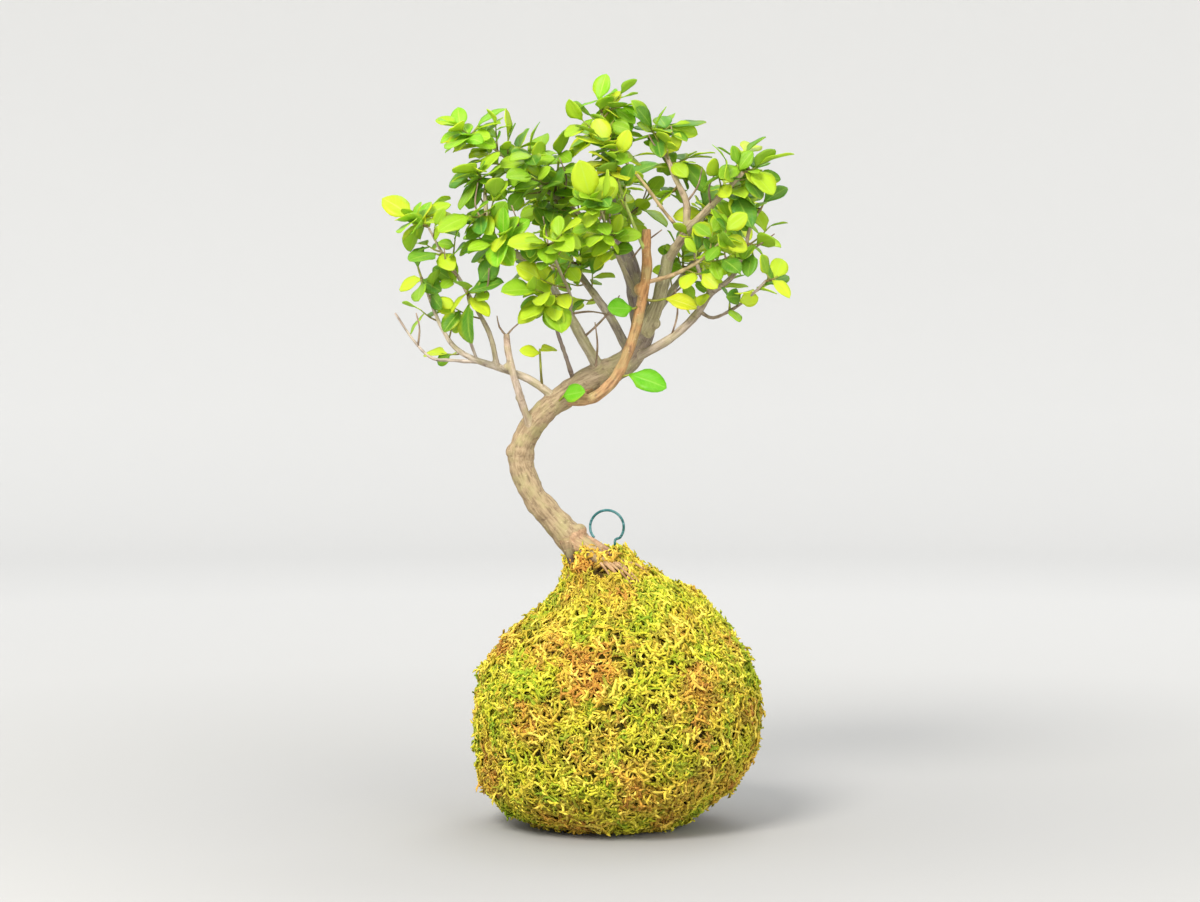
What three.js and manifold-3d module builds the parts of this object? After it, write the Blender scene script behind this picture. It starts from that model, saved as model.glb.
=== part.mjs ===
// Kokedama: a small sweet plum tree whose root ball is wrapped in moss, resting on the flat
// spot under the moss. Millimetres, +Z up, origin at the middle of the resting spot,
// +X to the right and +Y away when the tree's elbow bends to the left.
import * as THREE from 'three';
import { mergeVertices } from 'three/addons/utils/BufferGeometryUtils.js';
import Module from 'manifold-3d';

const wasm = await Module();
wasm.setup();

// ---- driving dimensions -------------------------------------------------------------
const clearance = 0.3;          // gap left between pieces that touch
const mossSpot = 26;            // radius of the flat resting spot
const mossSegments = 36;
const mossRings = 19;
const soilSegments = 16;
const mossRelief = 1.9;         // how far tufts stand out of, or sink into, the cover
const tuftLift = 0.4;           // share of its relief that a tuft also rises by
const neckCap = 1;              // height of the low cone that closes the neck round the trunk
const mossSeed = 77;
const wireRadius = 0.6;
const wireRingRadius = 7.7;     // to the middle of the wire
const wireRingMiddle = [-5, 9, 135];
const wireRingTurn = { from: -62, by: 282, points: 12 };    // degrees round the ring
const wireFoot = [[4, 10, 88], [2, 10, 104], [0.5, 9.5, 118]];
const wireSteps = 28;
const bladeThickness = 0.7;
const twigRadius = 0.95;
const detail = 0.16;            // edges that change the shape by less than this are dropped
const crownCentre = new THREE.Vector3(-8, 6, 250);

// rings up the outside of the moss: [height, middle in x, half width]
const mossOutline = [
  [0, 0, mossSpot], [4, -5, 38], [10.5, -6, 48.5], [20, -4, 58], [33, -1, 63],
  [48, 0, 64.6], [62, 0, 63.4], [75, 0.4, 59.6], [88, 1.5, 50], [97, 3.5, 41],
  [105, 4, 32.5], [112, -1, 23.5], [119, -6, 17.5], [125, -9, 13],
];
// outline of the soil inside, from its underside to its top: [radius, height]
const soilOutline = [[26, 13], [42, 20], [50, 32], [53, 50], [49, 70], [38, 86], [24, 96], [9, 101]];

// ---- the tree's wood: middle lines, and radius at even steps from base to end --------
const trunk = {
  points: [[16, 3, 80], [12, 2, 90], [1, 1, 106], [-12, 0, 120], [-21, 0, 130], [-30, 0, 140],
    [-38, 1, 150], [-43, 2, 161], [-44, 2, 169], [-41, 1, 178], [-34, -1, 187], [-27, -1, 193],
    [-17, 0, 200], [-6, 2, 205], [5, 4, 212], [11, 7, 223], [10, 9, 235], [7, 10, 250],
    [2, 10, 264], [-2, 8, 277], [-4, 6, 290], [-6, 3, 304], [-7, 0, 313]],
  radii: [5, 7, 8, 7.4, 6.6, 6, 5.7, 5.6, 6.1, 5.3, 5.2, 5.6, 5.9, 6.1, 5.8, 5.3, 4.8, 4.1,
    3.5, 2.7, 2, 1.5, 1.1],
  sides: 8,
  steps: 27,
};
const branches = {
  vine: { points: [[-22, -3, 193], [-11, -7, 194], [-1, -10, 203], [6, -12, 218], [10, -12, 233],
    [13, -11, 249], [13, -9, 261], [13, -8, 270]], radii: [2.6, 2.2], sides: 5, steps: 7 },
  vine_twig: { points: [[30, -2, 268], [21, -9, 278], [12, -13, 290], [1, -15, 303],
    [-5, -14, 311], [-7, -10, 322]], radii: [0.9, 0.6] },
  vine_shoot: { points: [[13, -9, 259], [8, -13, 270], [3, -16, 283], [-1, -18, 295]],
    radii: [0.9, 0.6], steps: 3 },
  right: { points: [[12, 5, 223], [18, 5, 237], [21, 6, 249], [23, 6, 259]], radii: [3.6, 2.7],
    sides: 6, steps: 3 },
  right_outer: { points: [[23, 6, 257], [32, -4, 270], [42, -13, 280], [49, -19, 287],
    [56, -24, 294]], radii: [2.4, 1] },
  right_upper: { points: [[31, -3, 269], [31, -6, 282], [26, -8, 293], [22, -8, 303], [18, -6, 312]],
    radii: [1.9, 0.8] },
  low_right: { points: [[6, 3, 211], [24, -5, 221], [35, -8, 231], [41, -10, 240],
    [46, -10, 244]], radii: [2.2, 1.4] },
  low_right_outer: { points: [[45, -10, 243], [52, -12, 249], [57, -14, 259], [59, -14, 269],
    [63, -13, 277]], radii: [1.3, 0.7] },
  low_right_hook: { points: [[37, -8, 233], [43, -13, 230], [52, -17, 234], [60, -20, 240],
    [66, -22, 246]], radii: [0.9, 0.6] },
  low_right_inner: { points: [[42, -10, 240], [37, -5, 251], [35, 0, 263], [39, 4, 276]],
    radii: [1, 0.6], steps: 3 },
  left: { points: [[-8, 1, 207], [-16, -2, 221], [-22, -5, 232], [-29, -7, 243], [-35, -9, 253]],
    radii: [2.7, 1.9] },
  left_outer: { points: [[-33, -8, 250], [-41, -12, 256], [-51, -15, 262], [-57, -16, 269],
    [-59, -15, 282], [-59, -13, 292]], radii: [1.9, 0.8] },
  left_upper: { points: [[-31, -8, 246], [-28, -1, 259], [-27, 4, 272], [-29, 7, 286],
    [-34, 8, 296]], radii: [1.3, 0.7] },
  left_front: { points: [[-22, -5, 231], [-21, -17, 240], [-26, -28, 252], [-29, -35, 261]],
    radii: [1, 0.6], steps: 3 },
  low_left: { points: [[-28, -2, 194], [-39, -6, 202], [-51, -9, 207], [-63, -12, 211],
    [-72, -13, 216], [-78, -13, 224], [-83, -12, 235], [-87, -10, 246]], radii: [2, 0.7],
    steps: 8 },
  low_left_bare: { points: [[-61, -11, 210], [-74, -15, 211], [-83, -18, 212], [-91, -20, 220],
    [-99, -21, 232]], radii: [0.9, 0.6] },
  low_left_inner: { points: [[-54, -10, 208], [-57, -14, 222], [-63, -16, 234], [-71, -16, 248],
    [-79, -14, 260], [-85, -12, 271]], radii: [1.4, 0.6] },
  low_left_spur: { points: [[-63, -12, 211], [-66, -17, 220], [-68, -20, 226]],
    radii: [0.8, 0.6], steps: 3 },
  stub: { points: [[-39, -2, 179], [-43, -8, 192], [-46, -11, 202], [-49, -11, 214],
    [-50, -10, 223]], radii: [1.9, 1.5] },
  back_left: { points: [[5, 5, 215], [-4, 20, 232], [-14, 34, 246], [-23, 45, 259],
    [-29, 52, 273], [-33, 55, 284]], radii: [2.3, 0.9] },
  back_right: { points: [[12, 8, 224], [20, 20, 237], [30, 33, 251], [40, 43, 266],
    [46, 48, 278]], radii: [2.1, 0.9] },
  back: { points: [[7, 10, 247], [3, 24, 261], [1, 37, 277], [0, 46, 290]], radii: [2, 0.9], steps: 3 },
  front_right: { points: [[13, -10, 246], [25, -19, 249], [37, -26, 255], [46, -32, 263]],
    radii: [1.1, 0.6], steps: 3 },
  front: { points: [[8, 6, 241], [1, -10, 256], [-4, -25, 268], [-7, -35, 277]],
    radii: [1.4, 0.7], steps: 3 },
  upper_left: { points: [[2, 10, 262], [-10, 6, 272], [-25, 1, 283], [-39, -3, 293],
    [-51, -5, 303], [-62, -6, 311]], radii: [1.6, 0.7] },
  thin_dark: { points: [[-20, -1, 202], [-23, -8, 212], [-26, -12, 221], [-29, -15, 230]],
    radii: [1.1, 0.7], steps: 3 },
};
// surface roots that leave the foot of the trunk and dive into the moss
const roots = [
  { points: [[-12, -2, 122], [-19, -6, 117], [-22, -8, 109], [-22, -9, 103]], radii: [2.6, 1.2] },
  { points: [[-7, -3, 118], [-3, -10, 114], [3, -14, 107], [7, -16, 101]], radii: [2.6, 1.2] },
  { points: [[-3, 2, 113], [5, 6, 112], [13, 9, 107], [18, 11, 101]], radii: [2.6, 1.2] },
  { points: [[-12, 3, 121], [-15, 9, 116], [-16, 14, 108], [-16, 16, 102]], radii: [2.4, 1.2] },
];

// single leaves that show their upper side to the front
const facingFront = { light: [0, -1.5, 0.7], turn: 0.2, droop: [0, 0.2] };
// ---- leafy stems: name, branch it grows from, how far along, [tip and its leaves], tone,
// and what differs from the leaf rule
const leafyStems = [
  ['top_left', 'upper_left', 1, [[-82, -10, 322, 4], [-57, 0, 325, 3], [-69, -24, 307, 2]], 'light'],
  ['top_left_inner', 'upper_left', 0.7, [[-46, 12, 316, 3], [-33, -24, 304, 3]], 'green'],
  ['top_left_back', 'upper_left', 0.45, [[-25, -4, 316, 3], [-43, -32, 293, 3]], 'green'],
  ['left_upper', 'left_upper', 1, [[-40, 26, 312, 3], [-21, -4, 293, 3]], 'green'],
  ['left_tip', 'left_outer', 1, [[-67, -30, 299, 4], [-77, -6, 291, 3]], 'green'],
  ['left_side', 'left_outer', 0.72, [[-72, -34, 273, 3]], 'green'],
  ['left_middle', 'left_outer', 0.45, [[-46, -38, 270, 3], [-64, -30, 259, 3]], 'light'],
  ['far_left', 'low_left_inner', 1, [[-102, -14, 281, 4], [-84, 10, 287, 3]], 'light'],
  ['far_left_side', 'low_left_inner', 0.78, [[-84, -26, 258, 2]], 'green'],
  ['low_left_side', 'low_left_inner', 0.5, [[-66, -30, 244, 3], [-64, -30, 227, 2]], 'green'],
  ['low_left_tip', 'low_left', 1, [[-94, 2, 262, 2], [-86, -25, 241, 2]], 'green'],
  ['front_left_tip', 'left_front', 1, [[-35, -48, 265, 3], [-17, -52, 271, 3]], 'green'],
  ['front_left_low', 'left_front', 0.35, [[-45, -36, 243, 4], [-38, -34, 229, 3]], 'green'],
  ['front_tip', 'front', 1, [[-17, -48, 288, 3], [-3, -46, 284, 3]], 'green'],
  ['front_low', 'front', 0.7, [[-9, -48, 262, 2]], 'light'],
  ['front_side', 'front', 0.6, [[3, -42, 268, 3]], 'green'],
  ['crown_top', 'vine_twig', 1, [[-9, -10, 331, 2], [13, -5, 327, 3]], 'light',
    { length: [9, 13] }],
  ['crown_side', 'vine_twig', 0.62, [[-13, -26, 311, 3]], 'green'],
  ['yellow', 'vine_shoot', 1, [[-6, -26, 303, 3]], 'light'],
  ['crown_back', 'trunk', 1, [[-20, 16, 316, 3], [1, 24, 320, 3], [9, 4, 315, 3]], 'green'],
  ['right_top', 'right_upper', 1, [[13, -14, 317, 3], [33, -2, 322, 3]], 'green'],
  ['right_top_side', 'right_upper', 0.66, [[40, 6, 306, 3], [24, 18, 298, 3]], 'green'],
  ['right_inner', 'right_upper', 0.42, [[16, 22, 288, 3]], 'green'],
  ['right_tip', 'right_outer', 1, [[72, -20, 302, 4], [56, -4, 311, 3]], 'green'],
  ['right_side', 'right_outer', 0.72, [[66, -16, 281, 3], [46, 8, 296, 3]], 'green'],
  ['right_low', 'right_outer', 0.42, [[62, 6, 276, 3], [53, 16, 268, 2]], 'green'],
  ['low_right_tip', 'low_right_outer', 1, [[67, -10, 284, 2], [57, 6, 287, 2]], 'green',
    { length: [9, 14] }],
  ['low_right_side', 'low_right_outer', 0.6, [[70, -24, 262, 3], [61, -30, 251, 2]], 'green',
    { length: [9, 13] }],
  ['hook_tip', 'low_right_hook', 1, [[79, -24, 251, 4], [64, -34, 252, 2]], 'green',
    { length: [9, 12.5] }],
  ['hook_side', 'low_right_hook', 0.45, [[50, -26, 239, 2]], 'green', { length: [9, 12] }],
  ['right_heart', 'low_right_inner', 1, [[39, 10, 288, 3], [50, 6, 268, 2]], 'green'],
  ['back_right_tip', 'back_right', 1, [[64, 56, 288, 3], [43, 62, 299, 3]], 'green'],
  ['back_right_side', 'back_right', 0.5, [[30, 34, 274, 3], [62, 36, 262, 2]], 'green'],
  ['back_left_tip', 'back_left', 1, [[-50, 58, 293, 3], [-27, 64, 302, 3]], 'green'],
  ['back_left_side', 'back_left', 0.5, [[-20, 36, 278, 3], [-50, 36, 262, 2]], 'green'],
  ['back_tip', 'back', 1, [[10, 54, 309, 3], [-13, 44, 303, 2]], 'green'],
  ['back_side', 'back', 0.62, [[22, 34, 298, 3]], 'green'],
  ['front_right_tip', 'front_right', 1, [[51, -38, 275, 2]], 'green', { length: [11, 14] }],
  ['bright_leaf', 'vine', 0.3, [[19, -17, 205, 1]], 'light',
    { ...facingFront, length: [17.5, 18.5], reach: 17 }],
  ['bend_leaf', 'trunk', 0.47, [[-17, -14, 201, 1]], 'light',
    { ...facingFront, length: [11.5, 12.5] }],
  ['pair', 'low_left', 0.08, [[-35, -12, 219, 2]], 'green',
    { length: [9, 11], reach: 3, firstLeaf: 0.9, endSpread: 1 }],
  ['yellow_leaf', 'vine', 0.62, [[36, -16, 239, 1]], 'light',
    { ...facingFront, light: [0, -1, 0.8], length: [14, 15], reach: 14 }],
  ['heart_leaf', 'vine', 0.6, [[1, -20, 231, 1]], 'light',
    { ...facingFront, length: [12, 13], halfWidth: [0.4, 0.42] }],
];

// how leaves sit on a thin stem and how a blade may lie, from lowest to highest
const leafRule = {
  length: [11, 18],           // blade and stalk
  halfWidth: [0.3, 0.37],     // against the length
  spread: [0.8, 1.4],         // radians between stem and side leaf
  endSpread: 0.3,             // share of that for the leaf at the stem's end
  turn: 0.5,                  // how far the way it faces may stray
  droop: [0, 0.5],
  fold: [0.05, 0.3],          // how far the edges stand up, against half the width
  arch: [0.05, 0.25],         // how far the tip bends down, against the length
  firstLeaf: 0.3,             // places of the first and last leaf along the stem
  lastLeaf: 0.95,
  fork: 0.42,                 // where side stems leave the first stem of a spray
  sag: 0.09,
  outward: 0.3,               // how strongly leaves face out of the crown
  reach: 11,                  // the stem stops this far short of the place its last leaf tips at
  shortestStem: 6,
  tries: 16,
  leafGap: 3.4,               // least distance between test points of two sprays' leaves
  ownGap: 2.3,                // the same within one spray
  woodGap: 1.7,
  woodStep: 3,
  light: [0, -0.4, 0.75],     // where leaves turn to, besides outwards
};
// outline of a blade: [share of its length, share of its half width]
const leafRim = [[1, 0], [0.68, 1], [0.36, 1], [0, 0], [0.36, -1], [0.68, -1]];
// where a blade is tested against its neighbours
const leafTestPlaces = [[0.5, 0], [0.25, -0.7], [0.25, 0.7], [0.3, 0], [0.5, -0.9], [0.5, 0.9],
  [0.75, -0.7], [0.75, 0], [0.75, 0.7], [1, 0]];

// ---- helpers ---------------------------------------------------------------------------
function seeded(seed) {
  let state = seed;
  return () => {
    state = (state * 48271) % 2147483647;
    return state / 2147483647;
  };
}

function between(range, draw) {
  return range[0] + (range[1] - range[0]) * draw;
}

function curveThrough(points) {
  const vectors = points.map(p => new THREE.Vector3(...p));
  return new THREE.CatmullRomCurve3(vectors, false, 'catmullrom', 0.5);
}

// value at t in a list that holds values at even steps from 0 to 1
function valueAt(list, t) {
  const place = Math.min(Math.max(t, 0), 1) * (list.length - 1);
  const below = Math.min(Math.floor(place), list.length - 2);
  return list[below] + (list[below + 1] - list[below]) * (place - below);
}

function toSolid(geometry) {
  const bare = geometry.clone();
  bare.deleteAttribute('normal');
  bare.deleteAttribute('uv');
  const merged = mergeVertices(bare, 1e-4);
  return new wasm.Manifold(new wasm.Mesh({
    numProp: 3,
    vertProperties: new Float32Array(merged.attributes.position.array),
    triVerts: new Uint32Array(merged.index.array),
  }));
}

function toGeometry(solid) {
  const mesh = solid.getMesh();
  const geometry = new THREE.BufferGeometry();
  geometry.setAttribute('position', new THREE.BufferAttribute(mesh.vertProperties, 3));
  geometry.setIndex(new THREE.BufferAttribute(mesh.triVerts, 1));
  geometry.computeVertexNormals();
  return geometry;
}

function unite(solids) {
  return solids.reduce((sum, solid) => sum.add(solid));
}

// the largest of a solid's separate bodies, without loose scraps and needless edges
function tidyBody(solid) {
  const bodies = solid.simplify(detail).decompose();
  bodies.sort((a, b) => b.volume() - a.volume());
  return bodies[0];
}

// a closed round tube along a curve: a cylinder bent to it, with radii from base to end
function stemSolid(stem, extra = 0) {
  const sides = stem.sides ?? (stem.radii[0] < 1.2 ? 4 : 5);
  const steps = stem.steps ?? 4;
  const curve = curveThrough(stem.points);
  const rings = [];
  let across = new THREE.Vector3(0, 1, 0);
  for (let i = 0; i <= steps; i++) {
    const t = i / steps;
    const along = curve.getTangent(t);
    const middle = curve.getPoint(t);
    across = across.clone().addScaledVector(along, -across.dot(along)).normalize();
    const third = new THREE.Vector3().crossVectors(along, across);
    const lengthen = (i === 0 ? -extra : 0) + (i === steps ? extra : 0);
    middle.addScaledVector(along, lengthen);
    rings.push({ middle, across, third, radius: valueAt(stem.radii, t) + extra });
  }
  const tube = new THREE.CylinderGeometry(1, 1, 1, sides, steps);
  const place = tube.attributes.position;
  for (let i = 0; i < place.count; i++) {
    const ring = rings[Math.round((place.getY(i) + 0.5) * steps)];
    const point = ring.middle.clone()
      .addScaledVector(ring.across, place.getZ(i) * ring.radius)
      .addScaledVector(ring.third, place.getX(i) * ring.radius);
    place.setXYZ(i, point.x, point.y, point.z);
  }
  return toSolid(tube);
}

// ---- moss cover and soil ---------------------------------------------------------------
function turnedSolid(profile, segments) {
  const lathe = new THREE.LatheGeometry(profile.map(p => new THREE.Vector2(...p)), segments);
  lathe.rotateX(Math.PI / 2);
  return lathe;
}

function mossOuterSolid() {
  const outline = curveThrough(mossOutline.map(([height, middle, half]) => [half, middle, height]));
  const rings = [];
  for (let i = 0; i < mossRings; i++) {
    const ring = outline.getPoint(i / (mossRings - 1));
    rings.push({ half: ring.x, middle: ring.y, height: ring.z });
  }
  const top = rings[mossRings - 1];
  const profile = [[0, 0], ...rings.map(r => [r.half, r.height]), [0, top.height + neckCap]];
  const ball = turnedSolid(profile, mossSegments);
  const place = ball.attributes.position;
  const draw = seeded(mossSeed);
  const tufts = Array.from({ length: mossSegments * mossRings }, () => draw() * 2 - 1);
  for (let i = 0; i < place.count; i++) {
    const level = i % profile.length - 1;
    const ring = rings[Math.min(Math.max(level, 0), mossRings - 1)];
    const segment = Math.floor(i / profile.length) % mossSegments;
    const onSide = level > 0 && level < mossRings;
    const tuft = onSide ? tufts[level * mossSegments + segment] * mossRelief : 0;
    const grow = 1 + tuft / ring.half;
    const height = place.getZ(i) + (onSide ? tuftLift * Math.abs(tuft) : 0);
    place.setXYZ(i, place.getX(i) * grow + ring.middle, place.getY(i) * grow, height);
  }
  return toSolid(ball);
}

function soilSolid(extra = 0) {
  const first = soilOutline[0];
  const last = soilOutline[soilOutline.length - 1];
  const bottom = first[1] - extra;
  const profile = [[0, bottom], [first[0] + extra, bottom]];
  for (const [radius, height] of soilOutline.slice(1, -1)) {
    profile.push([radius + extra, height]);
  }
  profile.push([last[0] + extra, last[1] + extra], [0, last[1] + extra]);
  return toSolid(turnedSolid(profile, soilSegments));
}

// ---- green coated wire: a ring over the moss, its foot pushed down into the soil ---------
function wireCurvePoints() {
  const [x, y, z] = wireRingMiddle;
  const { from, by, points } = wireRingTurn;
  const ring = Array.from({ length: points + 1 }, (_, i) => {
    const angle = THREE.MathUtils.degToRad(from + by * i / points);
    return [x + wireRingRadius * Math.cos(angle), y, z + wireRingRadius * Math.sin(angle)];
  });
  return [...wireFoot, ...ring];
}

function wireSolid(extra = 0) {
  const section = new THREE.Shape();
  const radius = wireRadius + extra;
  section.absarc(0, 0, radius, 0, Math.PI * 2, false);
  const path = new THREE.CatmullRomCurve3(wireCurvePoints().map(p => new THREE.Vector3(...p)));
  return toSolid(new THREE.ExtrudeGeometry(section, {
    extrudePath: path, steps: wireSteps, curveSegments: 3, bevelEnabled: false,
  }));
}

// ---- leafy stems -----------------------------------------------------------------------
// middle lines of every thin stem of one spray: the first from the branch, the rest from it
function twigPaths([, from, at, tips], rule) {
  const parent = from === 'trunk' ? trunk : branches[from];
  const start = curveThrough(parent.points).getPoint(at);
  const paths = [];
  for (const [x, y, z] of tips) {
    const base = paths.length ? curveThrough(paths[0]).getPoint(rule.fork) : start;
    const tip = new THREE.Vector3(x, y, z);
    const span = base.distanceTo(tip);
    const stemLength = Math.max(span - rule.reach, rule.shortestStem);
    tip.lerpVectors(base, tip, stemLength / span);
    const sag = rule.sag * stemLength;
    const middle = base.clone().lerp(tip, 0.5);
    paths.push([base.toArray(), [middle.x, middle.y, middle.z - sag], tip.toArray()]);
  }
  return paths;
}

// one possible leaf at a point of its stem, from one set of random draws
function drawLeaf(base, along, side, draw, rule) {
  const outward = base.clone().sub(crownCentre);
  outward.z = Math.max(outward.z, 0);
  const facing = outward.normalize().multiplyScalar(rule.outward);
  facing.add(new THREE.Vector3(...rule.light));
  const jitter = () => (draw() * 2 - 1) * rule.turn;
  facing.add(new THREE.Vector3(jitter(), jitter(), jitter())).normalize();
  const across = new THREE.Vector3().crossVectors(along, facing).normalize();
  const spread = between(rule.spread, draw()) * side;
  const direction = along.clone().multiplyScalar(Math.cos(spread));
  direction.addScaledVector(across, Math.sin(spread));
  direction.z -= between(rule.droop, draw());
  direction.normalize();
  const normal = facing.clone().addScaledVector(direction, -facing.dot(direction)).normalize();
  const length = between(rule.length, draw());
  return {
    base, direction, normal, length,
    sideways: new THREE.Vector3().crossVectors(normal, direction),
    half: length * between(rule.halfWidth, draw()),
    fold: between(rule.fold, draw()),
    arch: between(rule.arch, draw()),
  };
}

// point on a leaf: s from stalk to tip, u from edge to edge, lift off its middle surface
function leafPoint(leaf, s, u, lift = 0) {
  const rise = leaf.fold * leaf.half * Math.abs(u) - leaf.arch * leaf.length * s * s + lift;
  return leaf.base.clone()
    .addScaledVector(leaf.direction, leaf.length * s)
    .addScaledVector(leaf.sideways, leaf.half * u)
    .addScaledVector(leaf.normal, rise);
}

function leafSamples(leaf) {
  return leafTestPlaces.map(([s, u]) => leafPoint(leaf, s, u));
}

// thin closed blade: a six-sided plate with its rim drawn to a pointed oval
function leafSolid(leaf) {
  const plate = new THREE.CylinderGeometry(1, 1, 1, leafRim.length, 1);
  const place = plate.attributes.position;
  for (let i = 0; i < place.count; i++) {
    const x = place.getX(i);
    const z = place.getZ(i);
    const onRim = Math.hypot(x, z) > 0.5;
    const turn = Math.atan2(x, z) / (2 * Math.PI) + 1;
    const corner = Math.round(turn * leafRim.length) % leafRim.length;
    const [s, u] = onRim ? leafRim[corner] : [0.5, 0];
    const point = leafPoint(leaf, s, u, place.getY(i) * bladeThickness);
    place.setXYZ(i, point.x, point.y, point.z);
  }
  return toSolid(plate);
}

// points along every branch and thin stem, which leaves keep clear of
function woodPoints(sprays) {
  const points = [];
  const add = (owner, stem) => {
    const curve = curveThrough(stem.points);
    const count = Math.ceil(curve.getLength() / leafRule.woodStep);
    for (let i = 0; i <= count; i++) {
      const t = i / count;
      points.push({ owner, place: curve.getPoint(t), radius: valueAt(stem.radii, t) });
    }
  };
  add('trunk', trunk);
  Object.entries(branches).forEach(([name, stem]) => add(name, stem));
  sprays.forEach(spray => spray.twigs.forEach(
    points => add(spray.name, { points, radii: [twigRadius, twigRadius] })));
  return points;
}

function isClear(samples, owner, wood, placed) {
  const middle = samples[0];
  const span = 2 * leafRule.length[1];
  for (const other of placed) {
    const gap = other.owner === owner ? leafRule.ownGap : leafRule.leafGap;
    const near = other.samples[0].distanceTo(middle) < span;
    if (near && other.samples.some(a => samples.some(b => a.distanceTo(b) < gap))) return false;
  }
  for (const { owner: stem, place, radius } of wood) {
    const near = stem !== owner && place.distanceTo(middle) < span;
    if (near && samples.some(b => place.distanceTo(b) < radius + leafRule.woodGap)) return false;
  }
  return true;
}

// draws each leaf until it lies clear of the others and of the wood, or leaves it out
function placeLeaves() {
  const sprays = leafyStems.map(spray => {
    const rule = { ...leafRule, ...spray[5] };
    return { name: spray[0], tone: spray[4], rule, twigs: twigPaths(spray, rule), leaves: [] };
  });
  const wood = woodPoints(sprays);
  const placed = [];
  sprays.forEach((spray, sprayIndex) => {
    spray.twigs.forEach((points, twigIndex) => {
      const curve = curveThrough(points);
      const count = leafyStems[sprayIndex][3][twigIndex][3];
      for (let k = 0; k < count; k++) {
        const share = count === 1 ? 1 : k / (count - 1);
        const t = between([spray.rule.firstLeaf, spray.rule.lastLeaf], share);
        const side = k === count - 1 ? spray.rule.endSpread : (k % 2 ? 1 : -1);
        const draw = seeded(1009 * (sprayIndex + 1) + 131 * twigIndex + 17 * k + 5);
        for (let attempt = 0; attempt < leafRule.tries; attempt++) {
          const leaf = drawLeaf(
            curve.getPoint(t), curve.getTangent(t), side, draw, spray.rule);
          const samples = leafSamples(leaf);
          if (!isClear(samples, spray.name, wood, placed)) continue;
          placed.push({ owner: spray.name, samples });
          spray.leaves.push(leaf);
          break;
        }
      }
    });
  });
  return sprays;
}

function spraySolid(spray, woodRoom) {
  const twigs = spray.twigs.map(points => stemSolid({
    points, radii: [twigRadius, twigRadius * 0.8], sides: 3, steps: 2,
  }));
  const whole = unite([...twigs, ...spray.leaves.map(leafSolid)]);
  return whole.subtract(woodRoom);
}

// ---- the whole plant -------------------------------------------------------------------
const materials = {
  moss: new THREE.MeshStandardMaterial({ color: 0xb4b52b, roughness: 0.95, metalness: 0 }),
  soil: new THREE.MeshStandardMaterial({ color: 0x3a2a1c, roughness: 1, metalness: 0 }),
  bark: new THREE.MeshStandardMaterial({ color: 0xb9995f, roughness: 0.85, metalness: 0 }),
  green: new THREE.MeshStandardMaterial({ color: 0x5db012, roughness: 0.4, metalness: 0 }),
  light: new THREE.MeshStandardMaterial({ color: 0xa8d21a, roughness: 0.4, metalness: 0 }),
  wire: new THREE.MeshStandardMaterial({ color: 0x2f6f70, roughness: 0.35, metalness: 0 }),
};

const plant = new THREE.Group();

function addPiece(name, solid, material) {
  const mesh = new THREE.Mesh(toGeometry(tidyBody(solid)), material);
  mesh.name = name;
  plant.add(mesh);
}

const rootStems = roots.map(root => ({ ...root, sides: 4, steps: 3 }));
const allWood = [trunk, ...Object.values(branches), ...rootStems];
const wood = unite(allWood.map(stem => stemSolid(stem)));
const woodRoom = unite(allWood.map(stem => stemSolid(stem, clearance)));
const wire = wireSolid();
const wireRoom = wireSolid(clearance);
const moss = mossOuterSolid().subtract(soilSolid(clearance)).subtract(woodRoom).subtract(wireRoom);

addPiece('soil_ball', soilSolid().subtract(woodRoom).subtract(wireRoom), materials.soil);
addPiece('moss_cover', moss, materials.moss);
addPiece('trunk_and_branches', wood, materials.bark);
addPiece('wire_ring', wire, materials.wire);
for (const spray of placeLeaves()) {
  addPiece(`leafy_stem_${spray.name}`, spraySolid(spray, woodRoom), materials[spray.tone]);
}

export default plant;
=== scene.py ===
# Kokedama: a small sweet plum tree in a ball of moss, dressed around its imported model
import math
from functools import partial
import bpy
import bmesh
import numpy as np
from mathutils import Matrix, Vector, noise
from mathutils.kdtree import KDTree


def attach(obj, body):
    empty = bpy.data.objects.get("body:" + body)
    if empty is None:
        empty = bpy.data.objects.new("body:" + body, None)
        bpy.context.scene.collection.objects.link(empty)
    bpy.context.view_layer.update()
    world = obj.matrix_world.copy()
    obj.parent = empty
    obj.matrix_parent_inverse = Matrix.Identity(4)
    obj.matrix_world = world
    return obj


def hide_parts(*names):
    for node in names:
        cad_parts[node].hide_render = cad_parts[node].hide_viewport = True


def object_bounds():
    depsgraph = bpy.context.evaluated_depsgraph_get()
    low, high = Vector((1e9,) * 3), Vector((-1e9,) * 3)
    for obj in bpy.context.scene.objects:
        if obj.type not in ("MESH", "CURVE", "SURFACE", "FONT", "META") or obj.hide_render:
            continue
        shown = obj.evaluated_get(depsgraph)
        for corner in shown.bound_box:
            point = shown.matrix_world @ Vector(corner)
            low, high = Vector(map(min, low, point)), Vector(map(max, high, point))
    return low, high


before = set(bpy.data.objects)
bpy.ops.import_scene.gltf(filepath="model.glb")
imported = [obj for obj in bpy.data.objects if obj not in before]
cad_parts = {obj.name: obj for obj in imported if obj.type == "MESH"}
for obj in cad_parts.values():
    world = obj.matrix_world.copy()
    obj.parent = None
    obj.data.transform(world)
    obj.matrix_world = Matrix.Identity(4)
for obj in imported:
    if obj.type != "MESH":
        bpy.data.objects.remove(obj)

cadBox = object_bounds()
# the plant's lengths are in millimetres, as in the solids, and the studio's in metres
mm = 0.001


# small helpers

def seeded(seed):
    state = [seed]

    def draw():
        state[0] = state[0] * 48271 % 2147483647
        return state[0] / 2147483647
    return draw


def between(limits, share):
    return limits[0] + (limits[1] - limits[0]) * share


def unit(v):
    return v / math.sqrt(v @ v)


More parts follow.
